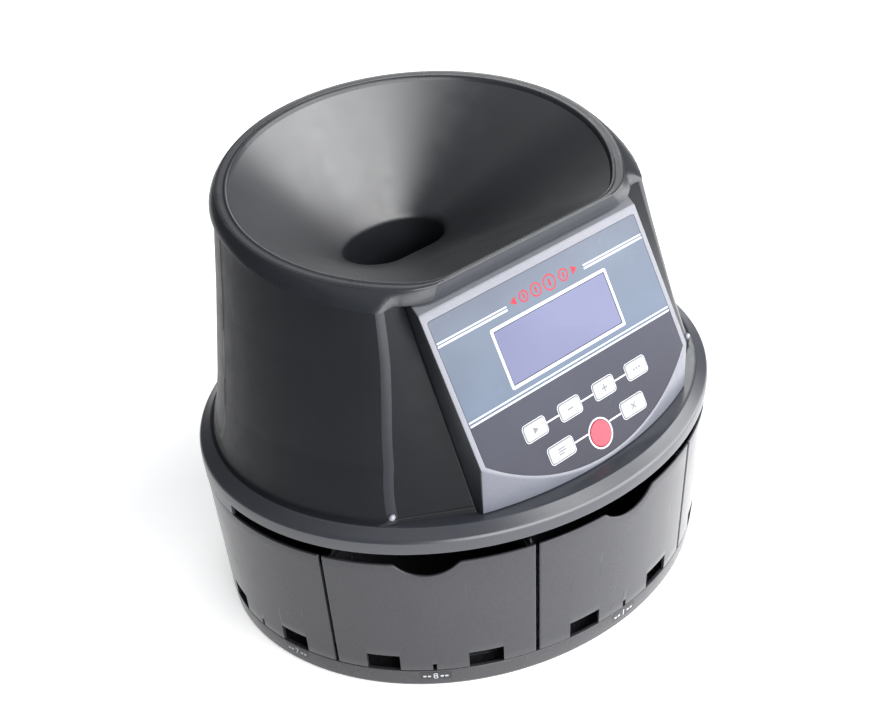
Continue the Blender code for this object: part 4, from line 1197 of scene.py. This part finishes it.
KEYS = [("start", -44.0, -93.5, 17.0, 9.8), ("minus", -15.0, -93.5, 17.0, 9.8), ("plus", 14.4, -93.5, 17.0, 9.8), ("set", 43.2, -93.5, 17.0, 9.8),
        ("report", -31.8, -112.8, 19.6, 9.8), ("stop", -0.3, -116.6, 16.4, 0.0), ("clear", 30.5, -112.8, 19.6, 9.8)]
LU, LV0, LV1 = 46.0, -64.4, -31.4


def rrect(cx, cy, w, h, r, n=6):
    pts = []
    for qx, qy, a0 in ((1, 1, 0), (-1, 1, 90), (-1, -1, 180), (1, -1, 270)):
        ox, oy = cx + qx * (w / 2 - r), cy + qy * (h / 2 - r)
        for i in range(n + 1):
            a = rad(a0 + 90 * i / n)
            pts.append((ox + r * cos(a), oy + r * sin(a)))
    return pts


def disc_pts(cx, cy, r, n=48):
    return [(cx + r * cos(math.tau * i / n), cy + r * sin(math.tau * i / n)) for i in range(n)]


def key_outline(k, grow):
    _, u, v, w, h = k
    return disc_pts(u, v, w / 2 + grow) if h == 0 else rrect(u, v, w + 2 * grow, h + 2 * grow, 2.0 + grow)


def joined(name, obs):
    bm = bmesh.new()
    for o in obs:
        bm.from_mesh(o.data)
    me = bpy.data.meshes.new(name)
    bm.to_mesh(me)
    bm.free()
    for o in obs:
        bpy.data.objects.remove(o, do_unlink=True)
    ob = bpy.data.objects.new(name, me)
    bpy.context.scene.collection.objects.link(ob)
    return ob


def make_console():
    b = raw_prism("console_body", block_outline(0.0, -40), SHOULDER_Z + 0.3, 262)
    slice_off(b, (0, -87.5 - 0.35, 127.0), Vector((0, 1, -0.207)).normalized())
    slice_off(b, (0, PANEL_Y, PANEL_Z), PN)
    slice_off(b, (0, 0, BLOCK_TOP), Vector((0, 0, 1)))
    # chamfer along the top of the face: a band that leans further back
    lean = Vector((0, -0.62, 0.785)).normalized()
    edge_pt = Q(0, -3.6, 0.0)
    slice_off(b, edge_pt, lean)
    bv = b.modifiers.new("Bevel", "BEVEL")
    bv.width, bv.segments, bv.limit_method, bv.angle_limit = 0.0014, 4, "ANGLE", rad(22)
    bpy.context.view_layer.update()
    me = bpy.data.meshes.new_from_object(b.evaluated_get(bpy.context.evaluated_depsgraph_get()))
    b.modifiers.clear()
    b.data = me
    cav = raw_prism("cav", block_outline(2.6, -30), SHOULDER_Z + 2.9, 262)
    slice_off(cav, tuple(a - c for a, c in zip((0, PANEL_Y, PANEL_Z), PN * 3.2)), PN)
    apply_boolean(b, cav)
    apply_boolean(b, raw_panel("recess", overlay_outline(0.25), -0.8, 4))
    cuts = [raw_panel("lcd", rrect(0, (LV0 + LV1) / 2, 2 * LU + 2, LV1 - LV0 + 2, 1.0), -8, 3)]
    for k in KEYS:
        cuts.append(raw_panel("k", key_outline(k, 0.35), -7, 3))
    apply_boolean(b, joined("cuts", cuts))
    me = b.data
    for m in (M["console"], M["bezel"], M["front_wall"], M["chamfer"]):
        me.materials.append(m)
    # top chamfer faces take a lighter copy (painted highlight) and the lower front wall a lighter copy (painted
    # reflection); the bezel is the satin border
    for p in me.polygons:
        n, c = p.normal, p.center
        v = ((c.y * 1000 - SHIFT - PANEL_Y) * ca + (c.z * 1000 - PANEL_Z) * sa)
        w = -(c.y * 1000 - SHIFT - PANEL_Y) * sa + (c.z * 1000 - PANEL_Z) * ca
        p.material_index = 0
        if n.dot(PN) > 0.80 and w > -0.9 and v < -3.0:
            p.material_index = 1
        elif n.z > 0.60 and n.y < -0.30 and v > -12:
            p.material_index = 3
        elif n.y < -0.80 and w < 0.1 and c.z * 1000 < 165 and w > -60 and abs(n.x) < 0.6 and n.z < 0.35:
            p.material_index = 2
    shade(me, 30)
    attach(b, "chassis")
    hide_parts("console_frame")


make_console()


def make_overlay():
    bm = panel_prism_bm(overlay_outline(0.0), -0.5, 0.0, 0.12)
    bmesh.ops.recalc_face_normals(bm, faces=bm.faces)
    me = bpy.data.meshes.new("overlay_film")
    bm.to_mesh(me)
    bm.free()
    ob = bpy.data.objects.new("overlay_film", me)
    bpy.context.scene.collection.objects.link(ob)
    cuts = [raw_panel("lcd", rrect(0, (LV0 + LV1) / 2, 2 * LU + 0.6, LV1 - LV0 + 0.6, 0.6), -3, 3)]
    for k in KEYS:
        cuts.append(raw_panel("k", key_outline(k, 0.3), -3, 3))
    apply_boolean(ob, joined("cuts", cuts))
    me = ob.data
    uv = me.uv_layers.new(name="face")
    for loop in me.loops:
        c = me.vertices[loop.vertex_index].co
        v = ((c.y * 1000 - SHIFT - PANEL_Y) * ca + (c.z * 1000 - PANEL_Z) * sa)
        uv.data[loop.index].uv = ((c.x * 1000 + OX) / (2 * OX), (v - OL) / (OT - OL))
    me.materials.append(M["overlay"])
    shade(me, 30)
    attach(ob, "chassis")
    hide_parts("membrane_overlay")


make_overlay()


def ink(name, outlines, mat, w0=0.005, w1=0.05, body="chassis", holes=()):
    bm = bmesh.new()
    for o in outlines:
        a = [bm.verts.new(P(*Q(x, y, w0))) for x, y in o]
        b = [bm.verts.new(P(*Q(x, y, w1))) for x, y in o]
        n = len(o)
        bm.faces.new(a)
        bm.faces.new(b)
        for i in range(n):
            j = (i + 1) % n
            bm.faces.new((a[i], a[j], b[j], b[i]))
    return from_bm(name, bm, M[mat], body, 30)


def band_outline(outer, inner, w0, w1, name, mat, body="chassis"):
    """Printed ring between two outlines with the same number of points."""
    bm = bmesh.new()
    rows = [[Q(x, y, w0) for x, y in inner], [Q(x, y, w1) for x, y in inner], [Q(x, y, w1) for x, y in outer], [Q(x, y, w0) for x, y in outer]]
    skin(bm, rows, closed_v=True)
    return from_bm(name, bm, M[mat], body, 30)


def bar(u0, u1, v0, v1):
    return [(u0, v0), (u1, v0), (u1, v1), (u0, v1)]


def make_prints():
    # pairs of rules above and below the display
    ink("rule_upper", [bar(-84.9, -31, -22.1, -21.2), bar(-84.9, -31, -24.2, -23.0), bar(33, 84.9, -22.1, -21.2), bar(33, 84.9, -24.2, -23.0)], "print_white")
    ink("rule_lower", [bar(-84.9, 84.9, -70.8, -69.9), bar(-84.9, 84.9, -73.2, -72.1)], "print_white")
    band_outline(rrect(0, (LV0 + LV1) / 2, 2 * LU + 4.6, LV1 - LV0 + 4.6, 1.4), rrect(0, (LV0 + LV1) / 2, 2 * LU + 0.8, LV1 - LV0 + 0.8, 0.7), 0.005, 0.05,
                 "display_border", "print_white")
    # links between the keys and the ring round the red one
    links = []
    for a, b in zip(KEYS[:3], KEYS[1:4]):
        links.append(bar(a[1] + a[3] / 2 + 0.5, b[1] - b[3] / 2 - 0.5, -94.0, -93.0))
    links.append(bar(-31.8 + 10.3, -9.6, -113.6, -112.6))
    links.append(bar(9.0, 30.5 - 10.3, -113.6, -112.6))
    ink("key_links", links, "print_white")
    band_outline(disc_pts(-0.3, -116.6, 9.6), disc_pts(-0.3, -116.6, 8.55), 0.005, 0.05, "red_key_ring", "print_white")
    for k in KEYS:
        if k[4]:
            band_outline(rrect(k[1], k[2], k[3] + 1.5, k[4] + 1.5, 2.6), rrect(k[1], k[2], k[3] + 0.65, k[4] + 0.65, 2.25), 0.005, 0.05, "key_border_" + k[0], "print_white")
    # generic picture in place of a title: a row of coins in three sizes between two arrows
    shapes = []
    bm = bmesh.new()
    for u, r in ((-16.5, 3.6), (-6.5, 4.3), (4.8, 5.0), (16.5, 3.9)):
        inner, outer = disc_pts(u, -20.9, r - 0.9, 36), disc_pts(u, -20.9, r, 36)
        rows = [[Q(x, y, 0.005) for x, y in inner], [Q(x, y, 0.05) for x, y in inner], [Q(x, y, 0.05) for x, y in outer], [Q(x, y, 0.005) for x, y in outer]]
        skin(bm, rows, closed_v=True)
        for i in range(1, 3):
            pass
        core = bar(u - r * 0.16, u + r * 0.16, -20.9 - r * 0.42, -20.9 + r * 0.42)
        shapes.append(core)
    from_bm("coin_marks", bm, M["print_red"], "chassis", 30)
    shapes.append([(-27.5, -20.9), (-23.0, -18.2), (-23.0, -23.6)])
    shapes.append([(28.0, -20.9), (23.5, -23.6), (23.5, -18.2)])
    ink("coin_marks_solid", shapes, "print_red")


make_prints()


def make_display():
    bm = panel_prism_bm(rrect(0, (LV0 + LV1) / 2, 2 * LU, LV1 - LV0, 0.5), -2.8, -0.06, 0.25)
    ob = from_bm("display_glass", bm, M["lcd"], "chassis", 30)
    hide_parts("lcd_window")


make_display()


def make_keys():
    for k in KEYS:
        name, u, v, w, h = k
        body = name + "_button"
        out = key_outline(k, 0.0)
        bm = panel_prism_bm(out, -4.2, 0.5, 0.0)
        bm.free()
        # cap with a rounded edge and a slightly crowned top
        bm = bmesh.new()
        rows = []
        prof = [(-4.2, 0.0), (-0.4, 0.0), (0.05, 0.04), (0.25, 0.14), (0.37, 0.30), (0.44, 0.55), (0.475, 1.1), (0.495, 2.2), (0.5, 3.6)]
        for ww, ins in prof:
            if h == 0:
                rows.append([(x, y, ww) for x, y in disc_pts(u, v, w / 2 - ins)])
            else:
                rows.append([(x, y, ww) for x, y in rrect(u, v, w - 2 * ins, h - 2 * ins, max(0.5, 2.0 - ins * 0.5))])
        vr = skin(bm, [[Q(*p) for p in row] for row in rows])
        cap(bm, vr[0])
        cap(bm, vr[-1])
        ob = from_bm("key_cap_" + name, bm, M["key_red" if name == "stop" else "key"], body, 50)
        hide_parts("key_" + name)
        g = []
        c = 0.30
        if name == "start":
            g = [[(u - 1.6, v - 2.0), (u + 2.2, v), (u - 1.6, v + 2.0)]]
        elif name == "minus":
            g = [bar(u - 2.3, u + 2.3, v - 0.45, v + 0.45)]
        elif name == "plus":
            g = [[(u - 0.45, v - 2.3), (u + 0.45, v - 2.3), (u + 0.45, v - 0.45), (u + 2.3, v - 0.45), (u + 2.3, v + 0.45), (u + 0.45, v + 0.45),
                  (u + 0.45, v + 2.3), (u - 0.45, v + 2.3), (u - 0.45, v + 0.45), (u - 2.3, v + 0.45), (u - 2.3, v - 0.45), (u - 0.45, v - 0.45)]]
        elif name == "set":
            g = [disc_pts(u - 2.4, v, 0.75, 20), disc_pts(u, v, 0.75, 20), disc_pts(u + 2.4, v, 0.75, 20)]
        elif name == "report":
            g = [bar(u - 3.0, u + 3.0, v + 1.2, v + 1.9), bar(u - 3.0, u + 3.0, v - 0.35, v + 0.35), bar(u - 3.0, u + 1.0, v - 1.9, v - 1.2)]
        elif name == "clear":
            g = []
            for s in (1, -1):
                a = Vector((cos(rad(45 * s)), sin(rad(45 * s))))
                n2 = Vector((-a.y, a.x))
                cc = Vector((u, v))
                g.append([tuple(cc - a * 2.6 - n2 * 0.4), tuple(cc + a * 2.6 - n2 * 0.4), tuple(cc + a * 2.6 + n2 * 0.4), tuple(cc - a * 2.6 + n2 * 0.4)])
        if g:
            ink("key_mark_" + name, g, "print_grey", 0.47, 0.515, body)


make_keys()


# ------------------------------------------------------------------ CAD nodes that stay as they are
KEEP = {
    "lcd_module": "board", "control_board": "board", "power_board": "board", "sensor_ring": "board", "key_mat": "silicone", "ribbon_cable": "cable",
    "deck_plate": "inner", "chute_ring": "inner", "sorting_plate": "steel", "fence_ring": "steel", "coin_disc": "zinc", "spindle": "steel",
    "disc_gear": "acetal", "motor_pinion": "bronze", "upper_bearing": "bronze", "lower_bearing": "bronze", "motor_bracket": "zinc", "drive_motor": "steel",
    "transformer": "coil", "power_inlet": "socket", "switch_frame": "socket", "data_port": "zinc", "power_rocker": "rocker",
}
for i in range(1, 5):
    KEEP["rubber_foot_%d" % i] = "rubber"
    if i < 4:
        KEEP["deck_screw_%d" % i] = "steel"
for n, mname in KEEP.items():
    o = NODES[n]
    if not o.material_slots:
        o.data.materials.append(M[mname])
    for s in o.material_slots:
        s.material = M[mname]


# ------------------------------------------------------------------ floor and light
def make_stage():
    bm = bmesh.new()
    n, size = 24, 4.0
    bmesh.ops.create_grid(bm, x_segments=n, y_segments=n, size=size)
    me = bpy.data.meshes.new("floor")
    bm.to_mesh(me)
    bm.free()
    ob = bpy.data.objects.new("floor", me)
    bpy.context.scene.collection.objects.link(ob)
    m, nt, b = principled("floor_paper")
    nt.links.new(ramp(nt, noise(nt, coords(nt), 3.0), [(0.3, (0.86, 0.86, 0.865)), (0.7, (0.88, 0.88, 0.88))]), b.inputs["Base Color"])
    b.inputs["Roughness"].default_value = 0.9
    b.inputs["Specular IOR Level"].default_value = 0.2
    b.inputs["Emission Color"].default_value = (1, 1, 1, 1)
    b.inputs["Emission Strength"].default_value = 0.50
    me.materials.append(m)
    w = bpy.data.worlds.new("studio")
    bpy.context.scene.world = w
    w.use_nodes = True
    bg = w.node_tree.nodes["Background"]
    bg.inputs["Color"].default_value = (0.92, 0.95, 1.0, 1)
    bg.inputs["Strength"].default_value = 0.22


def area(name, loc, target, sx, sy, power, color=(1, 1, 1)):
    l = bpy.data.lights.new(name, "AREA")
    l.shape, l.size, l.size_y, l.energy, l.color = "RECTANGLE", sx, sy, power, color
    o = bpy.data.objects.new(name, l)
    o.location = loc
    o.rotation_mode = "QUATERNION"
    o.rotation_quaternion = (Vector(target) - Vector(loc)).to_track_quat("-Z", "Y")
    bpy.context.scene.collection.objects.link(o)
    return o


def polar(az, el, d):
    return (sin(rad(az)) * cos(rad(el)) * d, -cos(rad(az)) * cos(rad(el)) * d, sin(rad(el)) * d)


make_stage()
for nm, az, wd, pw in (("panel_left", -14, 1.15, 1.0), ("panel_mid", 24, 1.25, 1.0), ("panel_right", 62, 1.15, 0.9)):
    area(nm, polar(az, 22, 1.75), (0, 0, 0.13), wd, 1.45, 6.6 * math.pi * wd * 1.45 * pw)
area("soft_top", (0.0, 0.3, 2.4), (0, 0, 0), 1.8, 1.8, 7)
for nm, az, el, wd, ht, rl in (("panel_high", 38, 59, 1.05, 0.42, 6.5), ("panel_back", 130, 36, 0.9, 0.45, 5.0)):
    area(nm, polar(az, el, 1.75), (0, 0, 0.13), wd, ht, rl * math.pi * wd * ht)

bpy.context.scene.view_settings.view_transform = "Standard"
bpy.context.scene.view_settings.look = "None"
